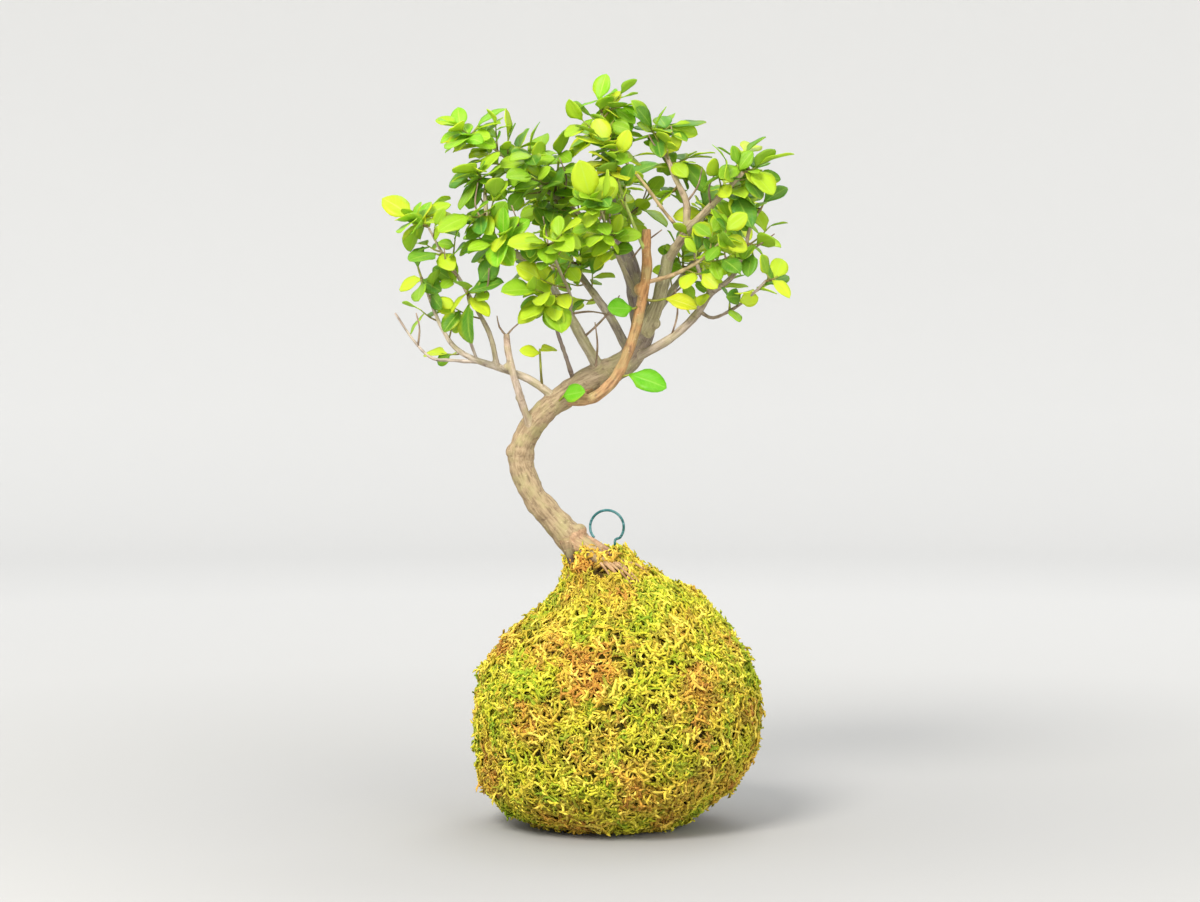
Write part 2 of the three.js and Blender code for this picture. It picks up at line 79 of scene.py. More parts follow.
def crossed(a, b):
    return np.array([a[1] * b[2] - a[2] * b[1], a[2] * b[0] - a[0] * b[2], a[0] * b[1] - a[1] * b[0]])


def valueAt(values, t):   # from a list of values at even steps from 0 to 1
    place = min(max(t, 0), 1) * (len(values) - 1)
    below = min(int(place), len(values) - 2)
    return values[below] + (values[below + 1] - values[below]) * (place - below)


class SmoothLine:
    # a smooth line through points, eased from each point to the next
    def __init__(self, points):
        self.points = np.array(points, float)

    def at(self, t):
        p, last = self.points, len(self.points) - 1
        place = last * t
        i = min(int(math.floor(place)), last - 1)
        w = place - i
        before = p[i - 1] if i > 0 else 2 * p[0] - p[1]
        after = p[i + 2] if i + 2 <= last else 2 * p[last] - p[last - 1]
        a, b = p[i], p[i + 1]
        leaving, arriving = 0.5 * (b - before), 0.5 * (after - a)
        return (a + leaving * w + (-3 * a + 3 * b - 2 * leaving - arriving) * w * w
                + (2 * a - 2 * b + leaving + arriving) * w * w * w)

    def along(self, t):
        return unit(self.at(min(t + 0.0001, 1)) - self.at(max(t - 0.0001, 0)))

    def length(self):
        places = [self.at(i / 200) for i in range(201)]
        return sum(math.sqrt((b - a) @ (b - a)) for a, b in zip(places, places[1:]))


def linear(code):   # sRGB hex to the linear colour that shaders take
    parts = [int(code[i:i + 2], 16) / 255 for i in (1, 3, 5)]
    return tuple(c / 12.92 if c <= 0.04045 else ((c + 0.055) / 1.055) ** 2.4 for c in parts) + (1.0,)


def addNode(tree, kind, *values, out=0, stops=(), **settings):
    # one node with its settings, its values or links, in order or in a dictionary of sockets, and
    # the stops of a colour ramp; gives back the output that the next node takes
    node = tree.nodes.new("ShaderNode" + kind)
    for name, value in settings.items():
        setattr(node, name, value)
    inputs = values[0] if values and isinstance(values[0], dict) else dict(enumerate(values))
    for name, value in inputs.items():
        if isinstance(value, bpy.types.NodeSocket):
            tree.links.new(value, node.inputs[name])
        else:
            node.inputs[name].default_value = linear(value) if isinstance(value, str) else value
    for i, (place, colour) in enumerate(stops):
        stop = node.color_ramp.elements[i] if i < 2 else node.color_ramp.elements.new(place)
        stop.position = place
        stop.color = linear(colour)
    return node.outputs[out] if node.outputs else None


def makeMaterial(name, surface, **looks):
    material = bpy.data.materials.new(name)
    material.use_nodes = True
    material.node_tree.nodes.clear()
    add = partial(addNode, material.node_tree)
    add("OutputMaterial", surface(add, **looks))
    return material


def finishPiece(name, mesh, materials, slot, replaced=()):
    piece = bpy.data.objects.new(name, mesh)
    bpy.context.scene.collection.objects.link(piece)
    for material in materials:
        mesh.materials.append(material)
    mesh.shade_smooth()
    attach(piece, "root")
    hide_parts(*replaced)
    return piece


def meshFrom(bm, name):
    mesh = bpy.data.meshes.new(name)
    bm.to_mesh(mesh)
    bm.free()
    return mesh


# steps along a line: how far, where, and three directions that don't twist round it
def stepsAlong(line, count):
    across = Vector((0, 1, 0.01))
    for i in range(count + 1):
        forward = Vector(line.along(i / count))
        across = (across - forward * across.dot(forward)).normalized()
        yield i / count, Vector(line.at(i / count)), across, forward.cross(across), forward


# a round rod along a line: a disc is pulled from ring to ring, and its ends stay closed
def growRod(points, radii, sides, step, wobble=0.0, seed=1):
    line = SmoothLine(points)
    draw = seeded(seed)
    rings = []
    for t, place, *directions in stepsAlong(line, max(2, round(line.length() / step))):
        radius = valueAt(radii, t) * (1 + wobble * (draw() * 2 - 1))
        turn = Matrix(directions).transposed().to_4x4()
        rings.append(Matrix.Translation(place) @ turn @ Matrix.Diagonal((radius, radius, 1, 1)))
    bm = bmesh.new()
    bmesh.ops.create_circle(bm, cap_ends=True, segments=sides, radius=1)
    bmesh.ops.transform(bm, matrix=rings[0], verts=bm.verts)
    end = list(bm.faces)
    for ring, after in zip(rings, rings[1:]):
        pulled = bmesh.ops.extrude_face_region(bm, geom=end)["geom"]
        end = [part for part in pulled if isinstance(part, bmesh.types.BMFace)]
        corners = [part for part in pulled if isinstance(part, bmesh.types.BMVert)]
        bmesh.ops.transform(bm, matrix=after @ ring.inverted(), verts=corners)
    bmesh.ops.scale(bm, verts=bm.verts, vec=(mm, mm, mm))
    bmesh.ops.recalc_face_normals(bm, faces=bm.faces)
    return meshFrom(bm, "rod")


# materials

# glossy evergreen leaf of a sweet plum: waxy on top, paler and dull below, light comes through it
def leafSurface(add, tones, vein, below, through, edge):
    x = add("SeparateXYZ", add("UVMap", uv_map="leafMap"))
    y = x.node.outputs[1]   # x: 2 x leaf number + how far along, y: across
    along = add("Math", x, 2.0, operation="MODULO")
    number = add("Math", x, 2.0, operation="SNAP")
    under = add("Math", y, 1.5, operation="GREATER_THAN")
    across = add("Math", y, 2.0, operation="MODULO")
    offset = add("Math", across, 0.5, operation="SUBTRACT")
    across = add("Math", offset, operation="ABSOLUTE")
    tone = add("TexWhiteNoise", {"W": number}, noise_dimensions="1D")
    colour = add("ValToRGB", tone, stops=tones)
    # side veins every 1.5 mm or so, swept forward, off a midrib
    sweep = add("Math", across, -4.6, 0.0, operation="MULTIPLY_ADD")
    wave = add("Math", along, 9.0, sweep, operation="MULTIPLY_ADD")
    beat = add("Math", wave, 0.5, operation="PINGPONG")
    side = add("MapRange", beat, 0.0, 0.11, 1.0, 0.0)
    rib = add("MapRange", across, 0.012, 0.045, 1.0, 0.0)
    weak = add("Math", side, 0.42, operation="MULTIPLY")
    veins = add("Math", weak, rib, operation="MAXIMUM")
    spot = add("TexCoord", out="Object")
    mottle = add("TexNoise", {"Vector": spot, "Scale": 260.0, "Detail": 3.0})
    mottled = add("MapRange", mottle, 0.3, 0.7, 0.0, 0.24)
    colour = add("Mix", {0: mottled, 6: colour, 7: vein}, out=2, data_type="RGBA")
    strength = add("Math", veins, 0.5, operation="MULTIPLY")
    colour = add("Mix", {0: strength, 6: colour, 7: vein}, out=2, data_type="RGBA")
    # older leaves turn yellow from the rim
    rim = add("MapRange", across, 0.25, 0.5, 0.0, 1.0)
    patch = add("TexNoise", {"Vector": spot, "Scale": 70.0, "Detail": 2.0})
    patchy = add("MapRange", patch, 0.52, 0.68, 0.0, 0.8)
    yellow = add("Math", rim, patchy, operation="MULTIPLY")
    colour = add("Mix", {0: yellow, 6: colour, 7: edge}, out=2, data_type="RGBA")
    dull = add("Math", under, 0.55, operation="MULTIPLY")
    colour = add("Mix", {0: dull, 6: colour, 7: below}, out=2, data_type="RGBA")
    gloss = add("MapRange", under, 0.0, 1.0, 0.4, 0.62)
    bump = add("Bump", {"Height": veins, "Strength": 0.35, "Distance": 0.0002})
    waxy = add("BsdfPrincipled", {
        "Base Color": colour, "Roughness": gloss, "IOR": 1.45, "Specular IOR Level": 0.32,
        "Coat Weight": 0.05, "Coat Roughness": 0.3, "Normal": bump})
    glow = add("Mix", {0: 0.6, 6: colour, 7: through}, out=2, data_type="RGBA")
    behind = add("BsdfTranslucent", {"Color": glow})
    return add("MixShader", 0.42, waxy, behind)


# bark of a young plum: thin, matt, finely cracked along the stem, with pale lenticels and algae
def barkSurface(add, algae):
    tint = add("Attribute", out="Color", attribute_name="barkTone")
    grain = add("Attribute", out="Vector", attribute_name="grain")   # mm
    stretched = add("Mapping", {0: grain, "Scale": (1.0, 1.0, 0.18)})
    fibre = add("TexNoise", {"Vector": stretched, "Scale": 0.95, "Detail": 5.0, "Roughness": 0.62})
    blotch = add("TexNoise", {"Vector": grain, "Scale": 0.13, "Detail": 3.0})
    squashed = add("Mapping", {0: grain, "Scale": (0.35, 0.35, 0.8)})
    cells = add("TexVoronoi", {"Vector": squashed, "Scale": 0.9})
    shade = add("ValToRGB", fibre, stops=[
        (0.28, "#7A6E64"), (0.43, "#C2BAB0"), (0.56, "#EFEBE5"), (0.72, "#FFFFFF")])
    colour = add("Mix", {0: 0.78, 6: tint, 7: shade}, out=2, data_type="RGBA", blend_type="MULTIPLY")
    green = add("MapRange", blotch, 0.47, 0.66, 0.0, algae)
    colour = add("Mix", {0: green, 6: colour, 7: "#A09A68"}, out=2, data_type="RGBA")
    pores = add("MapRange", cells, 0.1, 0.2, 0.35, 0.0)
    colour = add("Mix", {0: pores, 6: colour, 7: "#D8C6A2"}, out=2, data_type="RGBA")
    dark = add("TexNoise", {"Vector": grain, "Scale": 0.33, "Detail": 4.0})
    stains = add("MapRange", dark, 0.6, 0.74, 0.0, 0.6)
    colour = add("Mix", {0: stains, 6: colour, 7: "#5A4338"}, out=2, data_type="RGBA")
    bump = add("Bump", {"Height": fibre, "Strength": 0.55, "Distance": 0.0004})
    rough = add("MapRange", fibre, 0.0, 1.0, 0.92, 0.7)
    return add("BsdfPrincipled", {"Base Color": colour, "Roughness": rough, "IOR": 1.4, "Normal": bump})


# strands of sheet moss, part living and part dried to straw: matt, lighter towards the tips, with
# painted shade darkening each strand where it lies deep under the others
def strandSurface(add):
    tone = add("Attribute", out="Fac", attribute_name="strandTone")
    dry = add("Attribute", out="Fac", attribute_name="strandDry")
    along = add("Attribute", out="Fac", attribute_name="strandAlong")
    living = add("ValToRGB", tone, stops=[
        (0.0, "#6E960C"), (0.3, "#98AA14"), (0.62, "#C0BC1E"), (1.0, "#EADC4A")])
    straw = add("ValToRGB", tone, stops=[
        (0.0, "#9C5A26"), (0.35, "#C08032"), (0.7, "#DAA63E"), (1.0, "#F2D864")])
    colour = add("Mix", {0: dry, 6: living, 7: straw}, out=2, data_type="RGBA")
    # painted shade: the deep part of each strand, under the others, is darkened towards dark olive
    paintedRootShade = add("MapRange", along, 0.0, 0.5, 0.65, 0.0)
    colour = add("Mix", {0: paintedRootShade, 6: colour, 7: "#4A4A12"}, out=2, data_type="RGBA")
    spot = add("TexCoord", out="Object")
    scales = add("TexNoise", {"Vector": spot, "Scale": 1500.0, "Detail": 2.0})
    fleck = add("MapRange", scales, 0.35, 0.65, 0.0, 0.25)
    colour = add("Mix", {0: fleck, 6: colour, 7: "#F2E65A"}, out=2, data_type="RGBA")
    bump = add("Bump", {"Height": scales, "Strength": 0.4, "Distance": 0.0002})
    return add("BsdfPrincipled", {"Base Color": colour, "Roughness": 0.8, "IOR": 1.35, "Normal": bump})


# the matted, shaded layer that strands grow from
def matSurface(add):
    spot = add("TexCoord", out="Object")
    clumps = add("TexNoise", {"Vector": spot, "Scale": 420.0, "Detail": 5.0})
    broad = add("TexNoise", {"Vector": spot, "Scale": 45.0, "Detail": 2.0})
    green = add("ValToRGB", clumps, stops=[(0.35, "#241E0A"), (0.5, "#4A4210"), (0.68, "#7A741C")])
    brown = add("MapRange", broad, 0.48, 0.62, 0.0, 0.6)
    colour = add("Mix", {0: brown, 6: green, 7: "#4A3214"}, out=2, data_type="RGBA")
    bump = add("Bump", {"Height": clumps, "Strength": 0.8, "Distance": 0.001})
    return add("BsdfPrincipled", {"Base Color": colour, "Roughness": 0.95, "IOR": 1.35, "Normal": bump})


# steel wire in a smooth extruded vinyl coat: soft highlights, dust in places
def wireSurface(add):
    spot = add("TexCoord", out="Object")
    dust = add("TexNoise", {"Vector": spot, "Scale": 500.0, "Detail": 3.0})
    colour = add("ValToRGB", dust, stops=[(0.35, "#1F5A5C"), (0.6, "#2F6F70"), (0.8, "#5B9694")])
    rough = add("MapRange", dust, 0.0, 1.0, 0.28, 0.5)
    return add("BsdfPrincipled", {"Base Color": colour, "Roughness": rough, "IOR": 1.5})


# packed clay soil: crumbs of 1 to 3 mm
def soilSurface(add):
    spot = add("TexCoord", out="Object")
    crumbs = add("TexVoronoi", {"Vector": spot, "Scale": 450.0})
    colour = add("ValToRGB", crumbs, stops=[(0.1, "#1E150D"), (0.4, "#3A2A1C"), (0.8, "#5A4430")])
    bump = add("Bump", {"Height": crumbs, "Strength": 0.8, "Distance": 0.001})
    return add("BsdfPrincipled", {"Base Color": colour, "Roughness": 1.0, "IOR": 1.4, "Normal": bump})


greenLeaf = makeMaterial(
    "waxyPlumLeaf", leafSurface, tones=[
        (0.0, "#3A7A10"), (0.14, "#4E963A"), (0.3, "#74AE1E"), (0.6, "#A8CE2A"), (1.0, "#DCE632")],
    vein="#C4DE5A", below="#AECC48", through="#DDF030", edge="#E2E42A")
lightLeaf = makeMaterial(
    "newPlumLeaf", leafSurface, tones=[
        (0.0, "#6CBE1A"), (0.4, "#90CE20"), (0.75, "#B6DA24"), (1.0, "#DEE028")],
    vein="#DCEC70", below="#BEDC48", through="#E0F020", edge="#F2E020")
vividLeaf = makeMaterial(
    "freshPlumLeaf", leafSurface, tones=[(0.0, "#5CB41A"), (1.0, "#78C822")],
    vein="#B4DE60", below="#A4D44C", through="#BCEA24", edge="#ACD828")
yellowLeaf = makeMaterial(
    "yellowedPlumLeaf", leafSurface, tones=[(0.0, "#B4CC1E"), (0.5, "#DCDC24"), (1.0, "#F4E434")],
    vein="#ECEC8A", below="#E0DC5C", through="#F0EC28", edge="#F6E62A")
bark = makeMaterial("youngPlumBark", barkSurface, algae=0.55)
shootBark = makeMaterial("thinPlumTwig", barkSurface, algae=0.25)
strands = makeMaterial("sheetMossStrands", strandSurface)
mattedMoss = makeMaterial("mattedMoss", matSurface)
vinyl = makeMaterial("vinylCoatedWire", wireSurface)
soil = makeMaterial("packedSoil", soilSurface)
print("materials made")


# wood

trunk = {
    "points": [[16, 3, 80], [12, 2, 90], [1, 1, 106], [-12, 0, 120], [-21, 0, 130],
               [-30, 0, 140], [-38, 1, 150], [-43, 2, 161], [-44, 2, 169], [-41, 1, 178],
               [-34, -1, 187], [-27, -1, 193], [-17, 0, 200], [-6, 2, 205], [5, 4, 212],
               [11, 7, 223], [10, 9, 235], [7, 10, 250], [2, 10, 264], [-2, 8, 277],
               [-4, 6, 290], [-6, 3, 304], [-7, 0, 313]],
    "radii": [5, 7, 8, 7.4, 6.6, 6, 5.7, 5.6, 6.1, 5.3, 5.2, 5.6, 5.9, 6.1, 5.8, 5.3, 4.8, 4.1,
              3.5, 2.7, 2, 1.5, 1.1],
    "tones": ["#A68E76", "#B0987C", "#AE9A7A", "#AC9878", "#B09A7A", "#AA9678", "#AC9C82", "#897D78",
              "#7E7372", "#968C78", "#9CA278"],
}
# branches: name, points, and from foot to tip their radii and bark tones
branchRows = [
    ["vine", [[-22, -3, 193], [-11, -7, 194], [-1, -10, 203], [6, -12, 218], [10, -12, 233],
     [13, -11, 249], [13, -9, 261], [13, -8, 270]], [2.6, 2.2],
     ["#C6A27A", "#C0966A", "#BE8E5C", "#BC8C5E"]],
    ["vineTwig", [[30, -2, 268], [21, -9, 278], [12, -13, 290], [1, -15, 303], [-5, -14, 311],
     [-7, -10, 322]], [0.9, 0.6], ["#CFB087", "#B8B378"]],
    ["vineShoot", [[13, -9, 259], [8, -13, 270], [3, -16, 283], [-1, -18, 295]], [0.9, 0.6],
     ["#B9CE6E", "#C6D872"]],
    ["right", [[12, 5, 223], [18, 5, 237], [21, 6, 249], [23, 6, 259]], [3.6, 2.7],
     ["#BEB492", "#B4B08E"]],
    ["rightOuter", [[23, 6, 257], [32, -4, 270], [42, -13, 280], [49, -19, 287], [56, -24, 294]],
     [2.4, 1], ["#B9A98F", "#CAB79B"]],
    ["rightUpper", [[31, -3, 269], [31, -6, 282], [26, -8, 293], [22, -8, 303], [18, -6, 312]],
     [1.9, 0.8], ["#C3B095", "#D2B9A5"]],
    ["lowRight", [[6, 3, 211], [24, -5, 221], [35, -8, 231], [41, -10, 240], [46, -10, 244]],
     [2.2, 1.4], ["#BAAC98", "#AA9C90"]],
    ["lowRightOuter", [[45, -10, 243], [52, -12, 249], [57, -14, 259], [59, -14, 269], [63, -13, 277]],
     [1.3, 0.7], ["#9E9084", "#C6B199"]],
    ["lowRightHook", [[37, -8, 233], [43, -13, 230], [52, -17, 234], [60, -20, 240], [66, -22, 246]],
     [0.9, 0.6], ["#A49486", "#B3A498"]],
    ["lowRightInner", [[42, -10, 240], [37, -5, 251], [35, 0, 263], [39, 4, 276]], [1, 0.6],
     ["#8E817A", "#A49689"]],
    ["left", [[-8, 1, 207], [-16, -2, 221], [-22, -5, 232], [-29, -7, 243], [-35, -9, 253]], [2.7, 1.9],
     ["#C4B89E", "#B4AEA4"]],
    ["leftOuter", [[-33, -8, 250], [-41, -12, 256], [-51, -15, 262], [-57, -16, 269], [-59, -15, 282],
     [-59, -13, 292]], [1.9, 0.8], ["#BAAD99", "#C9BBA7"]],
    ["leftUpper", [[-31, -8, 246], [-28, -1, 259], [-27, 4, 272], [-29, 7, 286], [-34, 8, 296]],
     [1.3, 0.7], ["#AA9F8F", "#B9A88D"]],
    ["leftFront", [[-22, -5, 231], [-21, -17, 240], [-26, -28, 252], [-29, -35, 261]], [1, 0.6],
     ["#AA9F8F", "#AEA381"]],
    ["lowLeft", [[-28, -2, 194], [-39, -6, 202], [-51, -9, 207], [-63, -12, 211], [-72, -13, 216],
     [-78, -13, 224], [-83, -12, 235], [-87, -10, 246]], [2, 0.7],
     ["#C6B69C", "#BEB2A4", "#CCBEAC", "#D0C2AE"]],
    ["lowLeftBare", [[-61, -11, 210], [-74, -15, 211], [-83, -18, 212], [-91, -20, 220],
     [-99, -21, 232]], [0.9, 0.45], ["#C6BAAE", "#B7A89B"]],
    ["lowLeftInner", [[-54, -10, 208], [-57, -14, 222], [-63, -16, 234], [-71, -16, 248],
     [-79, -14, 260], [-85, -12, 271]], [1.4, 0.6], ["#B3A695", "#B7A794"]],
    ["lowLeftSpur", [[-63, -12, 211], [-66, -17, 220], [-68, -20, 226]], [0.8, 0.45],
     ["#B1A498", "#B7A89B"]],
    ["stub", [[-39, -2, 179], [-43, -8, 192], [-46, -11, 202], [-49, -11, 214], [-50, -10, 223]],
     [1.9, 1.5], ["#B9A68D", "#C5B5A6", "#C2A897"]],
    ["backLeft", [[5, 5, 215], [-4, 20, 232], [-14, 34, 246], [-23, 45, 259], [-29, 52, 273],
     [-33, 55, 284]], [2.3, 0.9], ["#A4998C", "#AFA492"]],
    ["backRight", [[12, 8, 224], [20, 20, 237], [30, 33, 251], [40, 43, 266], [46, 48, 278]],
     [2.1, 0.9], ["#A4998C", "#AFA492"]],
    ["back", [[7, 10, 247], [3, 24, 261], [1, 37, 277], [0, 46, 290]], [2, 0.9],
     ["#988D85", "#AFA492"]],
    ["frontRight", [[13, -10, 246], [25, -19, 249], [37, -26, 255], [46, -32, 263]], [1.1, 0.6],
     ["#BD9876", "#AEA97C"]],
    ["front", [[8, 6, 241], [1, -10, 256], [-4, -25, 268], [-7, -35, 277]], [1.4, 0.7],
     ["#A4998C", "#AEA97C"]],
    ["upperLeft", [[2, 10, 262], [-10, 6, 272], [-25, 1, 283], [-39, -3, 293], [-51, -5, 303],
     [-62, -6, 311]], [1.6, 0.7], ["#B9A88C", "#B6B37B"]],
    ["thinDark", [[-20, -1, 202], [-23, -8, 212], [-26, -12, 221], [-29, -15, 230]], [1.1, 0.7],
     ["#8D7C76", "#96897F"]],
]
branches = {name: {"points": points, "radii": radii, "tones": tones}
            for name, points, radii, tones in branchRows}
# stems too thin for the one grown surface of trunk and branches
thinStems = ["vineTwig", "vineShoot", "lowRightHook", "lowRightInner", "leftFront", "lowLeftBare",
             "lowLeftSpur", "frontRight", "thinDark"]
roots = [
    [[-12, -2, 122], [-19, -6, 117], [-22, -8, 109], [-22, -9, 103]],
    [[-7, -3, 118], [-3, -10, 114], [3, -14, 107], [7, -16, 101]],
    [[-3, 2, 113], [5, 6, 112], [13, 9, 107], [18, 11, 101]],
    [[-12, 3, 121], [-15, 9, 116], [-16, 14, 108], [-16, 16, 102]],
]
# roots that flare out of the trunk over the moss at the neck
surfaceRoots = [
    {"points": [[-19, -3, 129], [-11, -8.5, 124], [-5, -12.5, 119.5], [0, -16, 113]],
     "radii": [4.6, 3.8, 2.7, 1.4], "tones": ["#BE9C7C", "#B89878", "#AC8668", "#7A5A44"]},
    {"points": [[-23, -4, 129], [-21.5, -8, 124], [-20.5, -9.5, 119]],
     "radii": [3.2, 2.2, 1.4], "tones": ["#A88A6C", "#5E463A", "#3A2A24"]},
    {"points": [[-14, -1, 128], [-6, -5.5, 124.5], [1, -8.5, 120], [6, -10.5, 113]],
     "radii": [3.8, 3.0, 2.2, 1.4], "tones": ["#BE9C7C", "#B08C70", "#8E6A50", "#6A4A38"]},
    {"points": [[-15, 3, 127], [-9, 10, 121.5], [-7, 15, 115]],
     "radii": [3.4, 2.4, 1.2], "tones": ["#B89874", "#8E6C50", "#6A4A38"]},
]
# knuckles, scars and buds that stand out of the wood: x, y, z, radius
knots = [[-46.6, 1, 170, 4.3], [-17.8, -3.2, 133.6, 3.7], [-19.2, -6.6, 131.6, 1.9],
         [-44, -7.5, 194.5, 2.1], [-30, -4.5, 191, 2.2], [9, 1.5, 214, 2.6], [17, 3, 228, 2.4],
         [26, 2, 262, 2.4],
         [-5.5, 0, 209, 3], [10, -11, 243, 2.7], [-50, -11, 208, 1.7], [-33, -8.5, 250, 2.1],
         [-38, 4.5, 158, 1.8], [-24, 4.5, 131, 2.2], [36, -8, 232, 1.9], [46, -10, 244, 1.6]]
# fine bare twigs, too thin for the source
fineTwigs = [
    [[-89, -19.5, 217], [-88, -22, 225], [-89.5, -22, 232]],
    [[-50, -10, 222], [-47, -9, 225.5], [-43.5, -8, 228.5]],
    [[-50, -10, 222], [-53, -12, 226], [-54, -13, 231]],
    [[22, -8, 303], [25, -11, 309], [24, -12, 316]],
    [[22, -8, 303], [17, -11, 307], [14, -12, 312]],
    [[-16, -2, 221], [-8, -8, 228], [-2, -12, 235], [1, -14, 240]],
    [[-10, -1, 207], [-9, -8, 218], [-10, -12, 228]],
    [[-22, -5, 232], [-12, -8, 233], [-2, -11, 231]],
    [[-33, -8, 250], [-31, -16, 262], [-33, -20, 275]],
    [[-57, -16, 269], [-63, -20, 279], [-62, -21, 290]],
    [[-45, -13, 259], [-44, -18, 270], [-47, -20, 280]],
    [[24, -5, 221], [27, -10, 232], [26, -12, 243]],
    [[57, -14, 259], [63, -20, 262], [70, -22, 267]],
    [[53, -12, 250], [48, -16, 258], [50, -18, 266]],
    [[42, -13, 280], [41, -20, 288], [45, -24, 296]],
    [[31, -6, 282], [36, -9, 289], [38, -11, 297]],
    [[-63, -16, 234], [-58, -20, 243], [-57, -21, 252]],
    [[-71, -16, 248], [-76, -20, 254], [-77, -22, 261]],
    [[-25, 1, 283], [-23, -6, 293], [-26, -9, 302]],
    [[-10, 6, 272], [-6, -4, 280], [-8, -9, 288]],
    [[5, 10, 256], [12, 2, 264], [20, -4, 270]],
    [[-14, 34, 246], [-24, 30, 254], [-30, 24, 264]],
    [[20, 20, 237], [30, 18, 246], [40, 20, 255]],
    [[1, 37, 277], [10, 32, 284], [14, 26, 293]],
]

woodLook = {"voxel": 0.6, "sides": 16, "trunkSides": 20, "step": 2.2, "wobble": 0.04, "smooth": 0.5,
            "rootRadii": [2.6, 1.2], "rootTones": ["#A98552", "#7A5638"],
            "lumps": 0.75, "ridges": 0.12,   # how high, on a stem 5 thick
            "lumpScale": 0.16, "ridgeScale": (0.7, 0.7, 0.16), "wrinkleScale": (0.1, 0.1, 0.55),
            "sample": 1.2, "apart": 70}      # steps along a stem, and where the next stem's bark starts
fineTwigLook = {"radii": [0.55, 0.28], "tones": ["#9A8470", "#A58E7C"]}


def hexMix(codes, t):   # colour at t along a list of hex colours, linear
    return valueAt([np.array(linear(code)) for code in codes], t)


# samples along every stem, for the grain and tone of the skin around it
def stemSamples(stems):
    samples = []
    for number, stem in enumerate(stems):
        line = SmoothLine(stem["points"])
        length = line.length()
        for t, place, *directions in stepsAlong(line, max(4, round(length / woodLook["sample"]))):
            samples.append((place, valueAt(stem["radii"], t), *directions,
                            t * length + woodLook["apart"] * number, hexMix(stem["tones"], t)))
    return samples


def dressSkin(mesh, samples, lumps=0.0, ridges=0.0):
    # gives each vertex its stem's grain and tone, and the bark its relief
    tree = KDTree(len(samples))
    for i, sample in enumerate(samples):
        tree.insert(sample[0], i)
    tree.balance()
    grains, tones = [], []
    normals = [vertex.normal.copy() for vertex in mesh.vertices]
    for vertex, normal in zip(mesh.vertices, normals):
        place = vertex.co / mm
        near = tree.find_n(place, 8)
        i = min(near, key=lambda found: found[2] - samples[found[1]][1])[1]
        middle, radius, across, third, forward, along, colour = samples[i]
        arm = place - middle
        at = Vector((arm.dot(across), arm.dot(third), along + arm.dot(forward)))
        grains.extend(at)
        tones.extend(colour)
        if lumps:
            rise = noise.noise(place * woodLook["lumpScale"]) * lumps
            rise += noise.noise(at * Vector(woodLook["ridgeScale"])) * ridges
            rise += noise.noise(at * Vector(woodLook["wrinkleScale"])) * ridges * 0.6
            vertex.co = vertex.co + normal * rise * min(radius / 5, 1.2) * mm
    mesh.attributes.new("grain", "FLOAT_VECTOR", "POINT")
    mesh.attributes["grain"].data.foreach_set("vector", grains)
    mesh.attributes.new("barkTone", "FLOAT_COLOR", "POINT")
    mesh.attributes["barkTone"].data.foreach_set("color", tones)
    mesh.update()


def growWood():
    bm = bmesh.new()
    thick = [trunk] + [stem for name, stem in branches.items() if name not in thinStems]
    thick += [{"points": points, "radii": woodLook["rootRadii"], "tones": woodLook["rootTones"]}
              for points in roots]
    thick += surfaceRoots
    for number, stem in enumerate(thick):
        sides = woodLook["trunkSides" if stem is trunk else "sides"]
        bm.from_mesh(growRod(stem["points"], stem["radii"], sides, woodLook["step"], woodLook["wobble"],
                             31 + number))
    for x, y, z, radius in knots:
        bmesh.ops.create_icosphere(bm, subdivisions=3, radius=radius * mm,
                                   matrix=Matrix.Translation(Vector((x, y, z)) * mm))
    lump = bpy.data.objects.new("lump", meshFrom(bm, "lump"))
    bpy.context.scene.collection.objects.link(lump)
    skin = lump.modifiers.new("oneSkin", "REMESH")
    skin.mode = "VOXEL"
    skin.voxel_size = woodLook["voxel"] * mm
    grown = bpy.data.meshes.new_from_object(lump.evaluated_get(bpy.context.evaluated_depsgraph_get()))
    bpy.data.objects.remove(lump)
    bm = bmesh.new()
    bm.from_mesh(grown)
    bmesh.ops.smooth_vert(bm, verts=bm.verts, factor=woodLook["smooth"],
                          use_axis_x=True, use_axis_y=True, use_axis_z=True)
    mesh = meshFrom(bm, "trunk_skin")
    dressSkin(mesh, stemSamples(thick), woodLook["lumps"], woodLook["ridges"])
    finishPiece("trunk_skin", mesh, [bark], "bark", ["trunk_and_branches"])
    print("trunk and branches:", len(mesh.polygons), "faces")


def growTwigs():
    bm = bmesh.new()
    stems = [branches[name] for name in thinStems]
    stems += [{"points": points, **fineTwigLook} for points in fineTwigs]
    for number, stem in enumerate(stems):
        bm.from_mesh(growRod(stem["points"], stem["radii"], sides=8, step=2.4, wobble=0.16,
                             seed=301 + number))
    mesh = meshFrom(bm, "thin_twigs")
    dressSkin(mesh, stemSamples(stems))
    finishPiece("thin_twigs", mesh, [shootBark], "bark", ["trunk_and_branches"])
    print("thin twigs:", len(mesh.polygons), "faces")


growWood()
growTwigs()


# leaves

# single leaves that show their upper side to the front
facingFront = {"light": (0, -1.5, 0.7), "turn": 0.2, "droop": (0, 0.2)}
